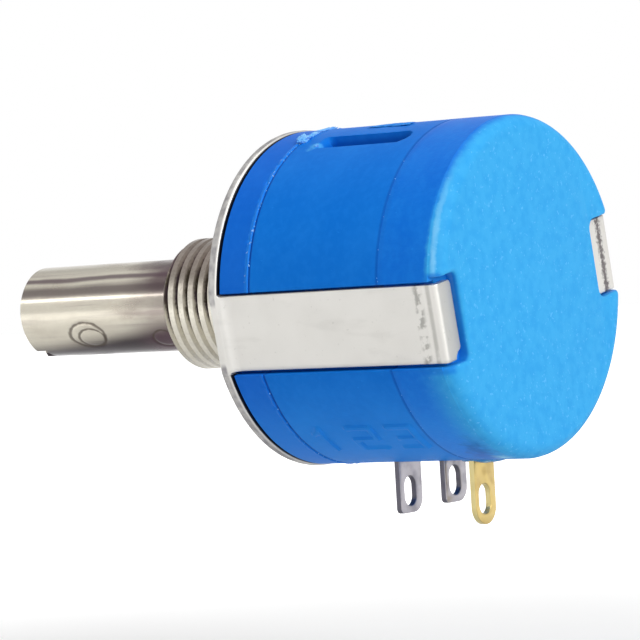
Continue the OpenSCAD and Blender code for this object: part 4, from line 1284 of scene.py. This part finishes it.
class POT_OT_stage(bpy.types.Operator):
    """Set up the floor, the lamps, the background and the camera"""

    bl_idname = "pot.stage"
    bl_label = "Floor, lamps and camera"

    def execute(self, context):
        sizes = context.scene.pot_stage
        self.floor(sizes)
        self.background(context.scene)
        # Each lamp: its place and the width and height of its face in metres, and its power in watts
        for name, place, width, height, watts in (("Key lamp", (0.15, 0.65, 0.3), 0.4, 0.4, 3.4),
                                                  ("Side lamp", (0.47, -0.39, 0.25), 0.5, 0.035, 0.22),
                                                  ("Top lamp", (0.1, 0.05, 0.6), 0.5, 0.5, 1.5)):
            light = bpy.data.lights.new(name, "AREA")
            light.shape = "RECTANGLE"
            light.size = width
            light.size_y = height
            light.energy = watts
            lamp = new_object(name, light)
            lamp.location = place
            lamp.rotation_euler = (-Vector(place)).to_track_quat("-Z", "Y").to_euler()
        self.camera(context.scene, sizes)
        context.scene.view_settings.view_transform = "Standard"
        return {"FINISHED"}

    def floor(self, sizes):
        """A pale floor that the camera and polished metal see as white, with a soft shadow, and a
        glow that is dimmer near the object, as painted shadow. From below it is clear."""
        shape = bmesh.new()
        bmesh.ops.create_grid(shape, x_segments=1, y_segments=1, size=1.5)
        bmesh.ops.translate(shape, verts=shape.verts, vec=(0, 0, -sizes.floor_drop))
        floor = new_object("floor", closed_up(shape))
        card = Finish("Matte white card", linear("#EDEDED"))
        node = card.node
        shader = card.tree.nodes["Principled BSDF"]
        set_inputs(card.tree, shader, Base_Color=card.tone, Roughness=0.9)
        # Painted shadow: the floor's glow is dimmer near the object
        away = node("ramp", node("length", card.place), 30 * MM, 160 * MM, 0.1, 0.85)
        glow = node("ShaderNodeEmission", (1, 1, 1, 1), away)
        rays = node("ShaderNodeLightPath").node.outputs
        looked_at = node("MAXIMUM", rays["Is Camera Ray"], rays["Is Glossy Ray"])
        looked_at = node("MAXIMUM", looked_at, rays["Is Transmission Ray"])
        lit = node("ShaderNodeMixShader", looked_at, shader.outputs[0],
                   node("ShaderNodeAddShader", shader.outputs[0], glow))
        seen = node("ShaderNodeMixShader", node("ShaderNodeNewGeometry", output="Backfacing"), lit,
                    node("ShaderNodeBsdfTransparent"))
        card.tree.links.new(seen, card.tree.nodes["Material Output"].inputs[0])
        floor.data.materials.append(card.material)

    def background(self, scene):
        """A white background for the camera, and softer light on the object. Metal sees a darker band
        above the horizon."""
        scene.world = bpy.data.worlds.new("White room")
        scene.world.use_nodes = True
        tree = scene.world.node_tree
        node = partial(add_node, tree)
        rays = node("ShaderNodeLightPath").node.outputs
        height = node("axes", node("ShaderNodeTexCoord", output="Generated"), output=2)
        off_band = node("ABSOLUTE", node("SUBTRACT", height, 0.6))
        room = node("ramp", off_band, 0.02, 0.2, 0.6, 0.95)
        mirrored = node("MAXIMUM", rays["Is Glossy Ray"], rays["Is Transmission Ray"])
        light = node("ShaderNodeMix", mirrored, 0.36, room)
        set_inputs(tree, tree.nodes["Background"], (1, 1, 1, 1),
                   node("MAXIMUM", light, rays["Is Camera Ray"]))

    def camera(self, scene, sizes):
        """The camera, turned round the target, raised and rolled."""
        level = math.cos(sizes.elevation)
        away = Vector((math.sin(sizes.azimuth) * level, -math.cos(sizes.azimuth) * level,
                       math.sin(sizes.elevation)))
        view = bpy.data.cameras.new("Camera")
        view.lens = sizes.lens
        view.sensor_width = 36
        view.clip_start = 0.01
        camera = new_object("Camera", view)
        facing = (-away).to_track_quat("-Z", "Y").to_matrix() @ Matrix.Rotation(sizes.roll, 3, "Z")
        camera.matrix_world = (Matrix.Translation(Vector(sizes.target) + away * sizes.distance)
                               @ facing.to_4x4())
        scene.camera = camera


class POT_PT_sidebar(bpy.types.Panel):
    """The steps that dress the potentiometer, in order"""

    bl_label = "Ten-turn potentiometer"
    bl_space_type = "VIEW_3D"
    bl_region_type = "UI"
    bl_category = "Potentiometer"

    def draw(self, context):
        for operator in OPERATORS:
            self.layout.operator(operator.bl_idname)
        for name in GROUPS:
            box = self.layout.box()
            group = getattr(context.scene, name)
            for prop in group.bl_rna.properties:
                if prop.identifier not in ("rna_type", "name"):
                    box.prop(group, prop.identifier)


GROUPS = {"pot_shaft": ShaftSizes, "pot_bushing": BushingSizes, "pot_plate": PlateSizes,
          "pot_mouldings": MouldingSizes, "pot_terminals": TerminalSizes,
          "pot_colours": FinishColours, "pot_stage": StageSizes}
OPERATORS = [POT_OT_stage, POT_OT_shaft, POT_OT_bushing, POT_OT_plate, POT_OT_mouldings, POT_OT_flash,
             POT_OT_terminals, POT_OT_sealant, POT_OT_inner_parts]


def register():
    for group in GROUPS.values():
        bpy.utils.register_class(group)
    for name, group in GROUPS.items():
        setattr(bpy.types.Scene, name, PointerProperty(type=group))
    for item in [*OPERATORS, POT_PT_sidebar]:
        bpy.utils.register_class(item)


def unregister():
    for item in [POT_PT_sidebar, *reversed(OPERATORS)]:
        bpy.utils.unregister_class(item)
    for name in GROUPS:
        delattr(bpy.types.Scene, name)
    for group in GROUPS.values():
        bpy.utils.unregister_class(group)


def main():
    register()
    for operator in OPERATORS:
        family, name = operator.bl_idname.split(".")
        getattr(getattr(bpy.ops, family), name)()


if __name__ == "__main__":
    main()
